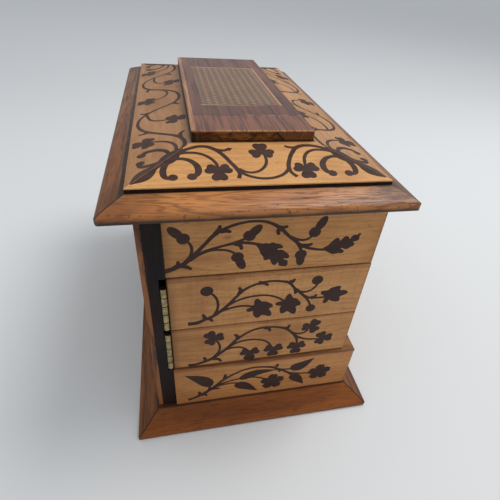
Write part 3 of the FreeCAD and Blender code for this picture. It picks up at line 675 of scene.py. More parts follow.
tablet_low, tablet_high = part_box("tablet_veneer")
burl = Finish("tablet side burl")
burl_swirl = burl.cloud((90, 90, 260), 4, 0.65, 1.4)
burl_line = (burl.y * 1.2 + burl.z * 2.2 + burl.x) * 2100 + burl_swirl * 12
burl_ray = (burl_line.sine() * 0.5 + 0.5).between(0.3, 0.8)
burl_ray = burl.blend(burl_ray, (0.24, 0.09, 0.024), (0.03, 0.012, 0.005))
burl_tint = burl.blend(burl_swirl.between(0.38, 0.6), (0.2, 0.07, 0.012), (0.055, 0.017, 0.005))
from_corner = (burl.y - tablet_low.y) - (burl.z - tablet_low.z) + burl_swirl * (6 * mm)
burl_tint = burl.blend(from_corner.below(29.5 * mm, 27 * mm), burl_tint, burl_ray)
patch_rim = (from_corner - 28.2 * mm).size().below(1.2 * mm, 0.4 * mm)
burl_post = burl.y.between(tablet_high.y - 2.6 * mm, tablet_high.y - 2.2 * mm)
burl_seam = (burl.y - tablet_high.y + 5.2 * mm).size().below(0.4 * mm, 0.15 * mm)
burl_dark = patch_rim.highest(burl_post).highest(burl_seam * 0.7)
burl_tint = burl.blend(burl_dark * 0.85, burl_tint, (0.012, 0.006, 0.004))
# Painted shadow along the foot of the tablet's sides.
burl_foot_shadow = (burl.z + burl_swirl * (0.6 * mm)).below(slope_high.z + 1.8 * mm, slope_high.z + 0.6 * mm)
burl_tint = burl.blend(burl_foot_shadow * 0.85, burl_tint, (0.01, 0.005, 0.004))
burl_wax = burl.surface(
    burl_tint, 0.34 + burl_swirl * 0.15, burl_swirl, 0.1 * mm, Specular_IOR_Level=0.15
)
finish_node(burl_wax, "tablet")

rose = Finish("tablet rosewood")
rose_streak = rose.cloud((16, 420, 420), 4, 0.65, 0.4)
rose_band = rose.cloud((8, 70, 70), 2, 0.5, 0.8)
rose_fibre = rose.cloud((60, 1500, 1500), 2)
rose_dark = rose_streak.between(0.46, 0.62) * 0.75 + rose_fibre * 0.2
rose_tint = rose.blend(rose_band.between(0.3, 0.7), (0.175, 0.057, 0.03), (0.11, 0.035, 0.022))
rose_tint = rose.blend(rose_dark, rose_tint, (0.045, 0.015, 0.011))
seam_x = tablet_low.x + 27.5 * mm
wave = rose.cloud((90, 90, 90), 2) * (0.8 * mm)
wavy_x = rose.x + wave
wavy_y = rose.y + wave
near_tint = rose.blend(rose_streak.between(0.42, 0.6), (0.24, 0.088, 0.045), (0.09, 0.03, 0.019))
rose_tint = rose.blend(wavy_x.below(seam_x, seam_x - 0.6 * mm) * 0.7, rose_tint, near_tint)
chip = rose.cloud((50, 210, 50), 2).between(0.5, 0.56) * rose.y.below(12 * mm, 6 * mm)
seam_tint = rose.blend(chip, (0.02, 0.012, 0.01), (0.34, 0.18, 0.1))
rose_tint = rose.blend((wavy_x - seam_x).size().below(0.7 * mm, 0.3 * mm), rose_tint, seam_tint)
near_line = wavy_x.below(tablet_low.x + 1.5 * mm, tablet_low.x + 1.0 * mm)
back_line = wavy_y.between(tablet_high.y - 2.7 * mm, tablet_high.y - 2.1 * mm)
front_line = rose.y.below(tablet_low.y + 0.9 * mm, tablet_low.y + 0.5 * mm)
pale_lines = near_line.highest(back_line).highest(front_line)
line_wood = rose.blend(rose_streak.between(0.4, 0.6), (0.46, 0.23, 0.095), (0.22, 0.085, 0.035))
rose_tint = rose.blend(pale_lines * 0.85, rose_tint, line_wood)
rose_polish = rose.surface(
    rose_tint, 0.32 + rose_streak * 0.14, rose_fibre, 0.05 * mm, Specular_IOR_Level=0.35
)
finish_node(rose_polish, "tablet_veneer")


def inlay_wood(name, pale, dark, per_metre, roughness=0.36, shine=0.4):
    """A thin shaped veneer let into another, with its own fine grain."""
    wood = Finish(name)
    grain = wood.cloud(per_metre, 3, 0.6)
    cloudy = wood.cloud((45, 45, 45), 2)
    tint = wood.blend(grain.between(0.3, 0.7) * 0.6 + cloudy * 0.4, pale, dark)
    return wood.surface(tint, roughness + cloudy * 0.12, grain, 0.04 * mm, Specular_IOR_Level=shine)


def flat_outlines(name, outlines, height, handles="VECTOR", steps=1):
    """Closed flat shapes cut from one sheet, drawn in millimetres at one height."""
    curve = bpy.data.curves.new(name, "CURVE")
    curve.dimensions = "2D"
    curve.fill_mode = "BOTH"
    curve.resolution_u = steps
    for outline in outlines:
        line = curve.splines.new("BEZIER")
        line.bezier_points.add(len(outline) - 1)
        for knot, (u, v) in zip(line.bezier_points, outline):
            knot.co = (u, v, 0)
            knot.handle_left_type = handles
            knot.handle_right_type = handles
        line.use_cyclic_u = True
    shape = bpy.data.objects.new(name, curve)
    bpy.context.collection.objects.link(shape)
    only(shape)
    bpy.ops.object.convert(target="MESH")
    shape.data.transform(Matrix.Translation((0, 0, height)))
    return shape


inlay_thickness = 0.3


def thickened(piece):
    """Turns every flat shape face up, then gives it its thickness downwards."""
    only(piece)
    pick_in_edit_mode(piece, "polygons", lambda face: face.normal.z < 0)
    bpy.ops.mesh.flip_normals()
    bpy.ops.object.mode_set(mode="OBJECT")
    take_modifier(piece, "SOLIDIFY", thickness=inlay_thickness, offset=-1)
    bpy.ops.object.shade_flat()
    return piece


def laid_on(corner, along, up, out=None):
    """The place of a design drawn in millimetres: its corner, the ways its two axes run, and the
    way its face looks, which a mirrored design is given."""
    out = out or along.cross(up)
    columns = (along * mm, up * mm, out * mm, corner)
    return Matrix([[column[row] for column in columns] for row in range(3)] + [[0, 0, 0, 1]])


field_length = 106.0
field_depth = 54.0
field_start = 49.0
cube_edge = 3.5
cube_gap = 0.06
field_woods = (
    ("field_light_lozenges", (0.3, 0.165, 0.085), (0.21, 0.11, 0.055), (40, 900, 900), 90),
    ("field_brown_lozenges", (0.19, 0.095, 0.05), (0.14, 0.068, 0.036), (700, 240, 700), 210),
    ("field_olive_lozenges", (0.125, 0.08, 0.048), (0.085, 0.052, 0.034), (700, 240, 700), 330),
)


def lozenge(u, v, turn):
    """One lozenge of a cube that has its middle at (u, v)."""
    reach = cube_edge - cube_gap
    start = math.radians(turn)
    points = [(0, 0)]
    for step, length in ((-60, reach), (0, reach * 2 * math.cos(math.radians(60))), (60, reach)):
        angle = start + math.radians(step)
        points.append((length * math.cos(angle), length * math.sin(angle)))
    shift = cube_gap * 0.6
    middle = (u + shift * math.cos(start), v + shift * math.sin(start))
    return [(middle[0] + x, middle[1] + y) for x, y in points]


field_y = (tablet_low.y + tablet_high.y) / 2 - field_depth / 2 * mm
field_corner = Vector((tablet_low.x + field_start * mm, field_y, tablet_high.z))
field_place = laid_on(field_corner, Vector((1, 0, 0)), Vector((0, 1, 0)))
field_edges = (
    ((0, 0, 0), (-1, 0, 0)),
    ((field_length, 0, 0), (1, 0, 0)),
    ((0, 0, 0), (0, -1, 0)),
    ((0, field_depth, 0), (0, 1, 0)),
)
row_step = cube_edge * 1.5
column_step = cube_edge * math.sqrt(3)
for name, pale, dark, per_metre, turn in field_woods:
    lozenges = []
    for row in range(-1, int(field_depth / row_step) + 3):
        for column in range(-1, int(field_length / column_step) + 3):
            middle_u = (column + 0.5 * (row % 2)) * column_step
            lozenges.append(lozenge(middle_u, row * row_step, turn))
    sheet = flat_outlines(name, lozenges, 0.05)
    bpy.ops.object.mode_set(mode="EDIT")
    for edge_place, outward in field_edges:
        bpy.ops.mesh.select_all(action="SELECT")
        bpy.ops.mesh.bisect(plane_co=edge_place, plane_no=outward, clear_outer=True)
    bpy.ops.object.mode_set(mode="OBJECT")
    thickened(sheet)
    sheet.data.transform(field_place)
    sheet.data.materials.append(inlay_wood(f"{name} wood", pale, dark, per_metre))
    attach(sheet, "lid")


def frame_outlines(inner, outer):
    """Four mitred strips round the field."""
    near_in, far_in = (-inner, -inner), (field_length + inner, field_depth + inner)
    near_out, far_out = (-outer, -outer), (field_length + outer, field_depth + outer)
    inside = (near_in, (far_in[0], near_in[1]), far_in, (near_in[0], far_in[1]))
    outside = (near_out, (far_out[0], near_out[1]), far_out, (near_out[0], far_out[1]))
    return [[inside[k], inside[k - 3], outside[k - 3], outside[k]] for k in range(4)]


field_frame = thickened(flat_outlines("field_pale_line", frame_outlines(0.3, 2.0), 0.05))
field_frame.data.transform(field_place)
frame_wood = inlay_wood("pale line wood", (0.46, 0.26, 0.12), (0.34, 0.18, 0.08), (500, 500, 500))
field_frame.data.materials.append(frame_wood)
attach(field_frame, "lid")

# Lid lining
# A quilted velvet pad, stuffed thinly on a card and pressed into the underside of the lid
# between the rails.

pad_low, pad_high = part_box("lid_lining")
pad_middle = (pad_low + pad_high) / 2
pad_half = (pad_high - pad_low) / 2
quilt = 20.6 * mm
bpy.ops.object.select_all(action="DESELECT")
bpy.ops.mesh.primitive_grid_add(
    x_subdivisions=144, y_subdivisions=72, size=1, location=(pad_middle.x, pad_middle.y, 0)
)
pad = bpy.context.object
pad.name = "lid_velvet_pad"
pad.scale = (2 * (pad_half.x - mm), 2 * (pad_half.y - mm), 1)
bpy.ops.object.transform_apply(location=True, rotation=True, scale=True)
take_modifier(pad, "SOLIDIFY", thickness=2.0 * mm, offset=0)
for corner in pad.data.vertices:
    side_x = abs(corner.co.x - pad_middle.x) / pad_half.x
    side_y = abs(corner.co.y - pad_middle.y) / pad_half.y
    crown = max(0.0, (1 - side_x**14) * (1 - side_y**10)) ** 0.5
    across = (corner.co.x + corner.co.y) / quilt
    down = (corner.co.x - corner.co.y) / quilt
    puff = (abs(math.sin(math.pi * across)) * abs(math.sin(math.pi * down))) ** 0.35
    if corner.co.z < 0:
        corner.co.z = pad_high.z - 1.0 * mm - crown * (1.4 + 2.2 * puff) * mm
    else:
        corner.co.z = pad_high.z - 0.05 * mm
    waist = 1.2 * mm * (1 - side_x**2) * side_y**8
    corner.co.y -= math.copysign(waist, corner.co.y - pad_middle.y)
bpy.ops.object.shade_smooth()
pad.data.materials.append(velvet("pad velvet"))
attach(pad, "lid")
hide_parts("lid_lining")

# Sprays inlaid in the ends and fronts
# Each tier has one spray, sawn from dark stained veneer and let into the pale one: oak on the
# upper case, ivy and clover on the trays, roses on the base. The fronts have it twice, mirrored.

dark_inlay = inlay_wood(
    "dark inlay", (0.055, 0.028, 0.022), (0.03, 0.014, 0.011), (60, 60, 1200), 0.45, 0.15
)


def stems(name, lines, height, fullness=1.0):
    """Flat tapering stems, each laid a little under the last. A point is a place and a width, in mm."""
    curve = bpy.data.curves.new(name, "CURVE")
    curve.dimensions = "3D"
    curve.twist_mode = "Z_UP"
    curve.extrude = 0.5
    curve.resolution_u = 7
    for order, points in enumerate(lines):
        line = curve.splines.new("BEZIER")
        line.bezier_points.add(len(points) - 1)
        for knot, (u, v, width) in zip(line.bezier_points, points):
            knot.co = (u, v, -0.001 * order)
            knot.radius = width * fullness
            knot.tilt = math.pi / 2
            knot.handle_left_type = "AUTO"
            knot.handle_right_type = "AUTO"
    stem = bpy.data.objects.new(name, curve)
    bpy.context.collection.objects.link(stem)
    only(stem)
    bpy.ops.object.convert(target="MESH")
    stem.data.transform(Matrix.Translation((0, 0, height)))
    return stem


def disc(centre, radius, steps=12):
    """A round berry, or the rounded end of a spur."""
    turns = [2 * math.pi * step / steps for step in range(steps)]
    return [(centre[0] + radius * math.cos(turn), centre[1] + radius * math.sin(turn)) for turn in turns]


def along_axis(base, tip, half_width, bend=0.0, steps=24):
    """An outline about a line from base to tip: half_width gives its reach at each share."""
    base, tip = Vector(base), Vector(tip)
    axis = tip - base
    side = Vector((-axis.y, axis.x)).normalized()
    left, right = [], []
    for step in range(steps + 1):
        share = step / steps
        middle = base + axis * share + side * bend * math.sin(math.pi * share)
        reach = half_width(share)
        left.append(middle + side * reach)
        right.append(middle - side * reach)
    return [tuple(point) for point in left + right[-2:0:-1]]


def leaf(base, tip, width, bend=0.0):
    """A pointed leaf, full and round near its base."""

    def half_width(s):
        return width * math.sin(math.pi * s**0.62) ** 0.85 * (1 - 0.25 * s) + 0.02

    return along_axis(base, tip, half_width, bend, 16)


def acorn(joint, tip):
    """A cup with the nut standing out of it."""
    length = (Vector(tip) - Vector(joint)).length

    def half_width(s):
        at = s * length
        cup = 3.9 * math.sqrt(max(0.0, 1 - ((at - 3.6) / 3.7) ** 2))
        nut = 2.9 * math.sqrt(max(0.0, 1 - ((at - length + 5.6) / 5.6) ** 2))
        return max(cup, nut, 0.02)

    return along_axis(joint, tip, half_width, 0.0, 40)


def turned(points, centre, facing, size=1.0):
    """A shape drawn about its centre along U, set down facing another way."""
    turn = math.radians(facing)
    ahead, aside = size * math.cos(turn), size * math.sin(turn)
    return [(centre[0] + ahead * x - aside * y, centre[1] + aside * x + ahead * y) for x, y in points]


clover_lobe = ((1.9, 2.9), (3.4, 3.9), (5.2, 4.5), (7.1, 4.0), (8.0, 2.0), (7.5, 0.0),
               (8.0, -2.0), (7.1, -4.0), (5.2, -4.5), (3.4, -3.9), (1.9, -2.9))


def clover(centre, facing, size=1.0):
    """Three notched lobes, the side ones a little shorter."""
    left_lobe, right_lobe = [turned(clover_lobe, (0, 0), turn, 0.94) for turn in (114, -114)]
    return turned([*left_lobe, *clover_lobe, *right_lobe], centre, facing, size)


def rose_head(centre, facing, reach=10.2):
    """An open rose of five ruffled petals."""
    outline = []
    for step in range(60):
        turn = 2 * math.pi * step / 60
        petal = abs(math.cos(2.5 * (turn - math.radians(facing)))) ** 0.6
        ruffle = 0.5 * math.sin(15 * turn + 1.3) * petal
        away = reach * 0.66 + reach * 0.34 * petal + ruffle
        outline.append((centre[0] + away * math.cos(turn), centre[1] + away * math.sin(turn)))
    return outline


ivy_length = 17.2
ivy_outline = ((-0.4, 1.2), (-2.4, 3.6), (-2.4, 6.0), (0.0, 6.2), (2.2, 6.0), (4.0, 7.4), (7.0, 8.1),
               (10.0, 8.2), (11.8, 7.1), (11.3, 5.2), (11.3, 4.0), (14.1, 3.1), (17.1, 0.6),
               (16.9, -0.6), (14.2, -1.8), (11.4, -3.0), (11.6, -5.2), (10.9, -7.0), (8.5, -6.9),
               (5.5, -5.6), (3.6, -3.9), (2.3, -5.6), (0.3, -6.3), (-0.9, -5.2), (-0.5, -3.0),
               (0.2, -1.2))
oak_outline_large = ((54.0, 22.4), (58.8, 22.2), (61.2, 22.4), (62.6, 21.8), (64.6, 22.7), (66.4, 21.9),
                     (69.6, 20.8), (71.6, 19.0), (71.3, 17.8), (68.2, 17.2), (71.4, 16.4), (73.6, 14.8),
                     (75.8, 12.6), (76.6, 10.2), (75.6, 9.2), (73.0, 9.3), (75.6, 7.8), (76.2, 5.6),
                     (75.8, 3.4), (72.8, 3.2), (70.6, 4.0), (69.6, 6.6), (68.8, 5.2), (67.0, 4.7),
                     (65.4, 6.6), (63.6, 9.8), (62.6, 9.3), (60.8, 9.2), (59.6, 12.2), (57.8, 14.6),
                     (57.0, 17.2), (55.4, 20.0))
oak_outline_small = ((98.0, 15.0), (101.0, 17.5), (103.4, 20.6), (105.8, 22.9), (107.8, 22.4),
                     (108.5, 20.6), (109.6, 22.0), (111.6, 23.9), (113.6, 23.5), (115.0, 21.6),
                     (115.6, 23.0), (117.2, 24.6), (119.4, 24.6), (120.4, 25.8), (121.6, 25.2),
                     (121.0, 23.2), (121.4, 21.0), (119.8, 19.6), (117.8, 19.0), (119.0, 17.8),
                     (118.4, 15.8), (116.8, 15.1), (115.6, 13.9), (113.4, 13.6), (110.3, 14.5),
                     (112.4, 13.0), (113.0, 11.4), (111.8, 10.5), (109.0, 10.7), (106.0, 10.2),
                     (102.8, 11.6), (100.0, 13.4))


def ivy_leaf(joint, tip):
    """A leaf of five pointed lobes, from where its stem joins to its tip."""
    axis = Vector(tip) - Vector(joint)
    angle = math.degrees(math.atan2(axis.y, axis.x))
    return turned(ivy_outline, joint, angle, axis.length / ivy_length)


def spray(name, stem_lines, spurs, shapes, fullness=1.38):
    """One flat spray in millimetres, ready to be laid on a board. Parts that cross differ in height,
    and fullness widens the drawn stems."""
    spur_lines = [((*a, 3.6), (*b, 2.8), (*c, 2.0)) for a, b, c in spurs]
    spur_ends = [disc(spur[-1], 1.1, steps=10) for spur in spurs]
    parts = [
        stems(name, stem_lines, 0.02, fullness),
        stems(f"{name} spurs", spur_lines, 0.03),
        flat_outlines(f"{name} spur ends", spur_ends, 0.04, "AUTO", 2),
        flat_outlines(f"{name} shapes", shapes, 0.05, "AUTO", 3),
    ]
    bpy.ops.object.select_all(action="DESELECT")
    for part in parts:
        part.select_set(True)
    bpy.context.view_layer.objects.active = parts[0]
    bpy.ops.object.join()
    return thickened(parts[0])


def inlay(pattern, name, place, body, wood=dark_inlay):
    """Lets a copy of a flat pattern into a board's face."""
    piece = pattern.copy()
    piece.data = pattern.data.copy()
    piece.name = name
    bpy.context.collection.objects.link(piece)
    piece.data.transform(place)
    only(piece)
    bpy.ops.object.mode_set(mode="EDIT")
    bpy.ops.mesh.select_all(action="SELECT")
    bpy.ops.mesh.normals_make_consistent(inside=False)
    bpy.ops.object.mode_set(mode="OBJECT")
    piece.data.materials.clear()
    piece.data.materials.append(wood)
    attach(piece, body)


oak_spray = spray(
    "oak",
    (
        ((0, 5.5, 3), (6, 7.8, 2.6), (12, 11, 2.6), (17, 16, 2.4), (23, 23, 2), (30, 31, 2.2),
         (37, 35.2, 1.8), (45, 37.8, 1.5), (53, 38.6, 1.5), (61, 37.2, 1.6), (68, 33, 2.2),
         (75, 26, 1.7), (81, 20.5, 2.2), (84, 14.5, 1.6)),
        ((12, 11, 2.4), (15.8, 17, 1.7), (16.3, 23, 1.6), (14.5, 26.8, 1.4)),
        ((15, 13, 2.4), (21, 17.5, 2), (28, 20.5, 1.6), (36, 22.6, 1.6), (43, 24.5, 2),
         (48.5, 27, 1.3)),
        ((38, 22.8, 1.2), (46, 23.8, 1.8), (51, 23.1, 1.8), (56, 21.8, 1.6)),
        ((20, 16.5, 1.6), (27, 19.4, 1.5), (34, 19.4, 1.4), (39, 18, 1.4), (42.5, 15.5, 1.3)),
        ((75, 26.5, 1.4), (80, 23.9, 1.5), (85, 23.1, 1.5), (90, 26, 1.4)),
        ((80.5, 21, 1.8), (86, 17.5, 1.9), (93, 15.2, 1.6), (100, 14.2, 1.5)),
    ),
    (
        ((6, 8), (8, 10), (8.2, 12.1)), ((10, 9.4), (13.4, 7.9), (15.3, 6.6)),
        ((30, 31), (32, 34), (32.6, 36.1)), ((33, 33), (36, 33), (38.3, 32.3)),
        ((68, 33), (69.8, 33), (72, 33.6)), ((68.2, 32.5), (67.3, 30.5), (67.6, 28.9)),
        ((42, 23.5), (44.8, 22), (45.8, 19.6)), ((84, 18.5), (87, 18.6), (89.6, 19.2)),
    ),
    [acorn((14.4, 26.4), (3.8, 37.2)), acorn((47.6, 25.9), (57, 35.7)), acorn((42.2, 16.4), (48, 3.3)),
     acorn((88.8, 25.2), (96.2, 39.6)), acorn((83.8, 15.2), (84.8, 2.6)), oak_outline_large,
     oak_outline_small],
    1.18,
)
ivy_spray = spray(
    "ivy",
    (
        ((11.8, 5, 3), (17.5, 5.2, 2.8), (23, 7.7, 2.2), (28, 10, 2.2), (33, 14, 2.4), (38, 19, 2.2),
         (44, 27, 1.8), (48.5, 32.3, 2), (54, 35.7, 1.6), (60, 37.8, 1.6), (67, 38.5, 1.5),
         (74, 37.5, 1.6), (79, 35.8, 1.9), (83, 31, 1.6), (87, 26.8, 2), (91.5, 22, 1.7),
         (95, 17.5, 1.5), (97.6, 12.2, 1.4)),
        ((29.5, 11.5, 1.9), (31.6, 17, 1.6), (31.8, 23, 1.6), (29.8, 29, 1.5), (27.3, 32, 1.4)),
        ((33, 14, 1.8), (38, 16, 1.6), (44, 17.5, 1.6), (50, 17.6, 1.5), (57.5, 16, 1.5)),
        ((36.5, 17.5, 1.8), (42, 21.8, 1.6), (49, 24.8, 1.5), (57, 26.2, 1.5), (65, 25.8, 1.4),
         (72, 23, 1.4), (78, 18.6, 1.4)),
        ((85.5, 28, 1.6), (90, 26, 1.6), (95, 26.7, 1.5), (98.5, 30.2, 1.4), (99.8, 32.6, 1.4)),
        ((91, 22.5, 1.7), (95.5, 19.9, 1.6), (101, 19, 1.5), (108.5, 18.9, 1.4)),
    ),
    (
        ((23.5, 7.9), (22.9, 10.5), (22.2, 12.4)), ((25, 8.8), (27, 7.6), (28, 6)),
        ((46, 29.5), (46.6, 32.5), (45.7, 34.6)), ((58, 37.8), (62, 37.2), (64.2, 35.5)),
        ((79.5, 36.3), (81.5, 36.8), (82.3, 38)), ((84.5, 29.5), (84.9, 27), (84.8, 25.6)),
        ((97, 19.3), (99.5, 20.2), (100.3, 21.6)),
    ),
    [disc((24.6, 34.2), 4.2), disc((98.9, 35.9), 4), disc((98.4, 9), 3.6),
     ivy_leaf((107, 19), (124.3, 21.5)), ivy_leaf((77.2, 19.8), (86.8, 4.6)),
     ivy_leaf((56, 17.2), (69.3, 5.2))],
    1.2,
)
clover_spray = spray(
    "clover",
    (
        ((10.5, 2.2, 2.2), (16, 2.2, 2), (22, 4, 2), (28, 6.8, 2.2), (34, 12, 2), (40, 18, 2),
         (45.5, 25.3, 1.8), (50.5, 30, 1.6), (56, 33.8, 1.5), (63, 36, 1.5), (70, 36, 1.4),
         (77, 34.7, 1.5), (82.5, 32.4, 1.8), (87.5, 27.7, 1.6), (91, 23.2, 2), (93.3, 17.5, 1.5),
         (94, 12, 1.4)),
        ((29.5, 8.5, 1.6), (32.8, 13.5, 1.4), (34, 19, 1.3), (33, 24, 1.3), (31, 28, 1.2)),
        ((38, 15.8, 1.8), (44, 17.2, 1.5), (50, 16.2, 1.4), (54.5, 12.8, 1.3), (56.5, 9.8, 1.2)),
        ((41, 19, 1.8), (47, 22.6, 1.5), (55, 24.1, 1.4), (63, 23, 1.3), (69.5, 19.5, 1.3),
         (74, 12.5, 1.2)),
        ((87.5, 27.5, 1.6), (92, 25.2, 1.5), (97, 25.2, 1.4), (101, 28, 1.3)),
        ((91.5, 22.8, 1.6), (96.5, 19.3, 1.5), (102.5, 17, 1.4), (111, 15.8, 1.3)),
    ),
    (
        ((23.5, 4.6), (23.2, 7), (22.5, 9)), ((29, 6.6), (33, 5.3), (34.9, 2.9)),
        ((47, 27.5), (46.3, 30), (44.9, 31.5)), ((66, 36), (69.5, 34.6), (70.5, 32)),
        ((82.5, 32.6), (84.3, 33.6), (84.9, 35.4)),
    ),
    [clover((29.3, 30.4), 124), clover((57, 8.4), -90), clover((75.5, 9.4), -90),
     clover((94, 9.4), -90), clover((102.9, 31.4), 61), clover((114.4, 16.5), 0)],
)
rose_spray = spray(
    "rose",
    (
        ((9.3, 4.6, 2.2), (14, 6.2, 1.8), (19, 8.8, 2.4), (24, 12.2, 2.4), (28, 16, 2.2),
         (33, 21.3, 1.7), (38, 26.5, 1.9), (44, 31, 1.6), (50, 34.5, 1.5), (57, 37, 1.5),
         (63, 37.6, 1.5), (70, 36.6, 1.5), (77, 34.6, 1.8), (82, 31.3, 1.8), (88, 27.3, 1.6),
         (92.5, 23.4, 1.8), (96, 19.5, 1.5)),
        ((25.5, 13.5, 1.8), (26.6, 17, 1.6), (26.6, 22, 1.5)),
        ((30, 18, 1.8), (35, 20.8, 1.6), (41, 22.9, 1.4), (48, 24.4, 1.3), (56, 25, 1.3),
         (63, 24.3, 1.3), (68, 22.3, 1.3), (73, 19.5, 1.3)),
        ((28.5, 16, 1.8), (34, 18.8, 1.5), (41, 20, 1.3), (47, 19.8, 1.2), (51, 18, 1.2)),
        ((83, 31, 1.5), (88, 29.8, 1.3), (95, 29, 1.2)),
        ((91, 24.5, 1.6), (96.5, 22.6, 1.5), (103, 21, 1.4), (111, 20, 1.4)),
    ),
    (
        ((19, 9.5), (18.7, 12), (18.3, 13.4)), ((21, 9.6), (23, 9), (24.1, 7.6)),
        ((27, 15.3), (31, 15.6), (34, 15.1)), ((38.5, 28), (39, 30.5), (38.9, 32.6)),
        ((79.5, 35), (80.8, 36), (81.1, 37.6)), ((82, 31.3), (83.3, 30), (83.8, 27.9)),
    ),
    [leaf((28.8, 20.6), (8, 37.8), 6.0, -1.6), leaf((50.4, 24.6), (80.8, 30.6), 4.6, 2.6),
     leaf((47.4, 18.4), (66.6, 4.4), 5.2, 1.0), leaf((92.8, 28.6), (111.6, 40.2), 5.8, -1.6),
     leaf((94.2, 20.6), (107.4, 4.8), 4.9, 0.8), rose_head((78.8, 14.9), 90),
     rose_head((119.3, 19.6), 90)],
)

left_way, right_way, up_way = Vector((-1, 0, 0)), Vector((1, 0, 0)), Vector((0, 0, 1))
front_way = Vector((0, -1, 0))
tiers = (
    ("oak", oak_spray, "upper", "upper_front", "case", "case", 5.0),
    ("ivy", ivy_spray, "upper_tray", "upper_tray_front", "upper_tray", "upper_tray", -6.0),
    ("clover", clover_spray, "lower_tray", "lower_tray_front", "lower_tray", "lower_tray", -5.0),
    ("rose", rose_spray, "base", "drawer_front", "case", "drawer", -4.5),
)
for kind, pattern, tier, front, end_body, front_body, start in tiers:
    low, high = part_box(f"{tier}_left_end")
    place = laid_on(Vector((low.x, high.y, low.z)), front_way, up_way)
    inlay(pattern, f"{kind}_inlay_left_end", place, end_body)
    low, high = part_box(f"{tier}_right_end")
    place = laid_on(Vector((high.x, high.y, low.z)), front_way, up_way, right_way)
    inlay(pattern, f"{kind}_inlay_right_end", place, end_body)
    low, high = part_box(front)
    place = laid_on(Vector((start * mm, low.y, low.z)), right_way, up_way)
    inlay(pattern, f"{kind}_inlay_front_right_half", place, front_body)
    place = laid_on(Vector((-start * mm, low.y, low.z)), left_way, up_way, front_way)
    inlay(pattern, f"{kind}_inlay_front_left_half", place, front_body)
    bpy.data.objects.remove(pattern)

# Scrolls inlaid in the lid slopes
# Running scrolls with clover leaves, which spring from a leaf on each mitre. Each slope has its
# own piece, so the halves of a corner leaf meet on the mitre with a thin pale joint.

worn_inlay = inlay_wood(
    "dark lid inlay", (0.075, 0.037, 0.028), (0.038, 0.018, 0.014), (60, 60, 1200), 0.45, 0.15
)
end_length = (slope_high.y - slope_low.y) / mm
long_low, long_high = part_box("lid_back_slope")
long_length = (long_high.x - long_low.x) / mm
end_run = (slope_high.x - slope_low.x) / mm
long_run = (long_high.y - long_low.y) / mm
rise = (slope_high.z - slope_foot_z) / mm
end_mitre = long_run / math.hypot(end_run, rise)
long_mitre = end_run / math.hypot(long_run, rise)
mitre_joint = 0.12


def mitre_half(mitre, rim):
    """The half of a shape that lies on one slope, with its straight side on the mitre. Each rim
    point is a height up the slope and a reach away from the mitre."""
    lean = Vector((mitre, 1.0))
    side = Vector((1.0, -mitre)).normalized()
    ends = [lean * rim[0][0] + side * mitre_joint, lean * rim[-1][0] + side * mitre_joint]
    edge = [lean * v + side * (mitre_joint + reach) for v, reach in rim[1:-1]]
    return [tuple(point) for point in [ends[0], *edge, ends[1]]]


corner_leaf = ((3.2, 0), (4.4, 1.3), (6.4, 3.0), (9.0, 4.3), (11.6, 4.4), (14.0, 3.5), (16.4, 2.1),
               (18.4, 2.2), (20.6, 3.4), (23.4, 4.6), (26.6, 4.4), (29.4, 3.0), (31.8, 1.4), (33.6, 0))


def corner_scroll(mitre):
    """The stems, balls and leaf at one corner, seen from the corner along one slope."""
    lines = [
        ((23.0, 21.5, 1.9), (20.6, 17, 2.5), (19.7, 11.8, 2.7), (20.8, 8, 2.4), (23.4, 6.8, 1.6)),
        ((25.5, 23.6, 1.8), (31, 23.6, 1.9), (36.2, 20.4, 2.4), (38.6, 14.8, 2.9), (37.8, 10.2, 2.6),
         (35.6, 8.0, 1.9)),
    ]
    balls = [disc((24.8, 7.7), 2.6), disc((34.8, 8), 2.7)]
    return lines, [*balls, mitre_half(mitre, corner_leaf)]


def mitred(pattern, mitre, length):
    """Cuts a pattern back to the mitres at both ends of its slope."""
    only(pattern)
    bpy.ops.object.mode_set(mode="EDIT")
    for foot, way in ((0, 1), (length, -1)):
        outward = Vector((-way, mitre, 0)).normalized()
        joint = Vector((foot, 0, 0)) - outward * mitre_joint
        bpy.ops.mesh.select_all(action="SELECT")
        bpy.ops.mesh.bisect(plane_co=joint, plane_no=outward, clear_outer=True, use_fill=True)
    bpy.ops.object.mode_set(mode="OBJECT")
    return pattern


def flipped(points, length):
    """The same line or shape at the other end of a slope."""
    return [(length - point[0], *point[1:]) for point in points]


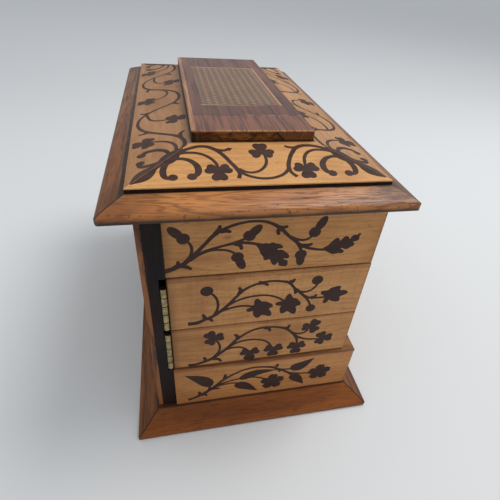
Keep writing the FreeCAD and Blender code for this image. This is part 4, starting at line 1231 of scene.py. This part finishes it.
near_lines, near_shapes = corner_scroll(end_mitre)
end_lines = near_lines + [flipped(line, end_length) for line in near_lines]
end_shapes = near_shapes + [flipped(shape, end_length) for shape in near_shapes]
end_lines += [
    ((28, 29, 2.2), (35, 33.3, 1.8), (43, 35.2, 1.9), (49, 32.6, 2.2), (53.5, 27, 2), (57, 20, 1.8),
     (60, 13.5, 2), (60.8, 9.5, 1.6), (59.8, 5.6, 1.8)),
    ((121.6, 29, 2.2), (114.6, 33.3, 1.8), (106.6, 35.2, 1.9), (100, 33.6, 2.2), (95.4, 28, 2),
     (92, 21, 1.8), (90, 13.5, 2), (90.6, 9.5, 1.6), (93, 5.8, 1.8)),
    ((48, 33.2, 1.6), (52, 31.4, 1.6), (55.5, 31.2, 1.6), (57.4, 32.4, 1.4)),
    ((102, 34.6, 1.6), (97.6, 33.2, 1.6), (94.4, 33.6, 1.6), (92.2, 35, 1.4)),
    ((60, 13.5, 1.6), (63.4, 9.2, 1.5), (68.5, 6.2, 1.5), (75, 5, 1.5), (82, 6.3, 1.5), (87, 9.5, 1.5),
     (90, 13.5, 1.6)),
    ((61, 13.8, 1.5), (65, 10.9, 1.4), (70, 10.7, 1.4), (75, 14, 1.4), (78, 20, 1.4),
     (78.2, 26.5, 1.4)),
    ((27, 28, 1.9), (34, 29.4, 1.6), (41, 28, 1.6), (46, 24, 1.6), (49, 18.5, 1.5), (49.4, 14, 1.4)),
    ((122.6, 28, 1.9), (115.6, 30.4, 1.6), (108, 30, 1.6), (103, 25.5, 1.6), (100.8, 19, 1.5),
     (100.4, 14, 1.4)),
]
end_shapes += [clover((76.8, 29.6), 90), clover((49.6, 12.2), -90), clover((100.2, 12.2), -90)]
end_spurs = (((59, 31.6), (58, 32.4), (57.6, 32.6)),)
end_scroll = mitred(spray("end scroll", end_lines, end_spurs, end_shapes), end_mitre, end_length)

near_lines, near_shapes = corner_scroll(long_mitre)
long_lines = near_lines + [flipped(line, long_length) for line in near_lines]
long_shapes = near_shapes + [flipped(shape, long_length) for shape in near_shapes]
long_lines += [
    ((29, 29.5, 2.2), (37, 33.4, 1.9), (46, 33, 1.9), (53, 29.5, 2.1), (59, 23.5, 1.8), (64.5, 17, 1.8),
     (70, 11, 2), (77, 6.2, 1.8), (87, 3.8, 1.6), (97, 5, 1.6), (104, 8.8, 1.8), (110, 15, 1.8),
     (114.5, 22, 1.6), (118.5, 28.5, 2), (125, 33, 1.8), (134, 34.3, 1.7), (143, 32.8, 1.6),
     (151, 28.5, 1.7), (158, 22, 1.7), (164, 14.5, 1.8), (170, 8.8, 1.8), (178, 5.2, 1.6),
     (186, 4.5, 1.6), (194, 6.5, 1.6), (200, 11, 1.8), (204.5, 18, 1.7), (208, 25.5, 1.8),
     (213, 31, 1.9), (221, 34, 1.8), (230, 33.9, 1.8), (238, 32.4, 2), (244.6, 29.5, 2.2)),
    ((26, 27, 1.9), (33, 28.4, 1.6), (41, 27.5, 1.6), (47, 23.5, 1.6), (51, 17, 1.5), (52, 12, 1.4)),
    ((104, 9.4, 1.6), (97, 10.8, 1.4), (91, 13, 1.4), (87, 18, 1.4), (85, 26, 1.3)),
    ((160.5, 19, 1.6), (155, 23.2, 1.4), (147, 25.3, 1.4), (140, 23.3, 1.4), (136, 18.5, 1.4),
     (134.5, 12, 1.3)),
    ((202, 14.6, 1.6), (194, 14, 1.4), (186, 15.5, 1.4), (180.5, 19, 1.4), (177.5, 26, 1.3)),
    ((247.6, 27, 1.9), (240.6, 28.4, 1.6), (232.6, 27.5, 1.6), (226.6, 23.5, 1.6), (222.6, 17, 1.5),
     (221.6, 12, 1.4)),
]
long_shapes += [clover((52, 9.6), -90), clover((84.2, 29), 90), clover((134.3, 9.6), -90),
                clover((177, 29), 90), clover((221.6, 9.6), -90)]
long_spurs = (
    ((50.5, 31.5), (55.5, 31.6), (58.6, 33.8)), ((69, 12), (68.2, 8.6), (67.6, 6)),
    ((107, 11), (107, 8), (108.4, 5.4)), ((119.5, 30), (116.5, 30.8), (114, 33)),
    ((167.5, 11), (164.4, 9), (161.6, 9)), ((207, 25), (204.6, 28.4), (201.6, 29.6)),
)
long_scroll = mitred(spray("long scroll", long_lines, long_spurs, long_shapes), long_mitre, long_length)

left_corner = Vector((slope_low.x, slope_high.y, slope_foot_z))
right_corner = Vector((long_high.x, slope_high.y, slope_foot_z))
front_corner = Vector((long_high.x, slope_low.y, slope_foot_z))
slopes = (
    ("left", end_scroll, left_corner, front_way, (end_run, 0, rise), None),
    ("right", end_scroll, right_corner, front_way, (-end_run, 0, rise), (rise, 0, end_run)),
    ("back", long_scroll, left_corner, right_way, (0, -long_run, rise), (0, rise, long_run)),
    ("front", long_scroll, front_corner, left_way, (0, long_run, rise), (0, -rise, long_run)),
)
for side, pattern, corner, along, up, out in slopes:
    out = Vector(out).normalized() if out else None
    place = laid_on(corner, along, Vector(up).normalized(), out)
    inlay(pattern, f"lid_scroll_{side}", place, "lid", worn_inlay)
for pattern in (end_scroll, long_scroll):
    bpy.data.objects.remove(pattern)

# Studio
# A pale paper floor, bright soft light from all round with a large window light above the front,
# and the camera close above the left end.

bpy.ops.object.select_all(action="DESELECT")
bpy.ops.mesh.primitive_circle_add(vertices=64, radius=14, fill_type="NGON")
paper = bpy.context.object
paper.name = "paper_floor"
paper_sheet = Finish("pale paper")
paper_cloud = paper_sheet.cloud((2, 2, 2), 2)
paper_tint = paper_sheet.blend(paper_cloud * 0.3, (0.735, 0.755, 0.77), (0.7, 0.72, 0.735))
# Painted shade: the paper darkens towards the far side, as the light falls off.
paper_tint = paper_sheet.blend(paper_sheet.x.between(0.1, 1.0), paper_tint, (0.63, 0.65, 0.67))
paper_matt = paper_sheet.surface(paper_tint, 0.9 + paper_cloud * 0.05, Specular_IOR_Level=0.1)
paper.data.materials.append(paper_matt)

scene = bpy.context.scene
world = bpy.data.worlds.new("soft room")
scene.world = world
world.use_nodes = True
room_light = world.node_tree.nodes["Background"]
room_light.inputs["Color"].default_value = (0.96, 0.98, 1.0, 1)
room_light.inputs["Strength"].default_value = 0.66

window = bpy.data.lights.new("window", "AREA")
window.shape = "DISK"
window.size = 1.0
window.energy = 19
window.color = (1.0, 0.98, 0.95)
lamp = bpy.data.objects.new("window", window)
lamp.location = (0.1, -0.9, 1.9)
to_case = Vector((0, 0, 0.1)) - lamp.location
lamp.rotation_euler = to_case.to_track_quat("-Z", "Y").to_euler()
scene.collection.objects.link(lamp)

camera = bpy.data.objects.new("camera", bpy.data.cameras.new("camera"))
scene.collection.objects.link(camera)
camera.location = (-0.31234, 0.05759, 0.30760)
camera.rotation_euler = [math.radians(angle) for angle in (52.5365, -4.0730, -101.2543)]
camera.data.lens = 27.047
camera.data.sensor_width = 36
camera.data.shift_x = -0.00582
camera.data.shift_y = -0.00435
camera.data.clip_start = 0.01
scene.camera = camera
scene.view_settings.view_transform = "Standard"
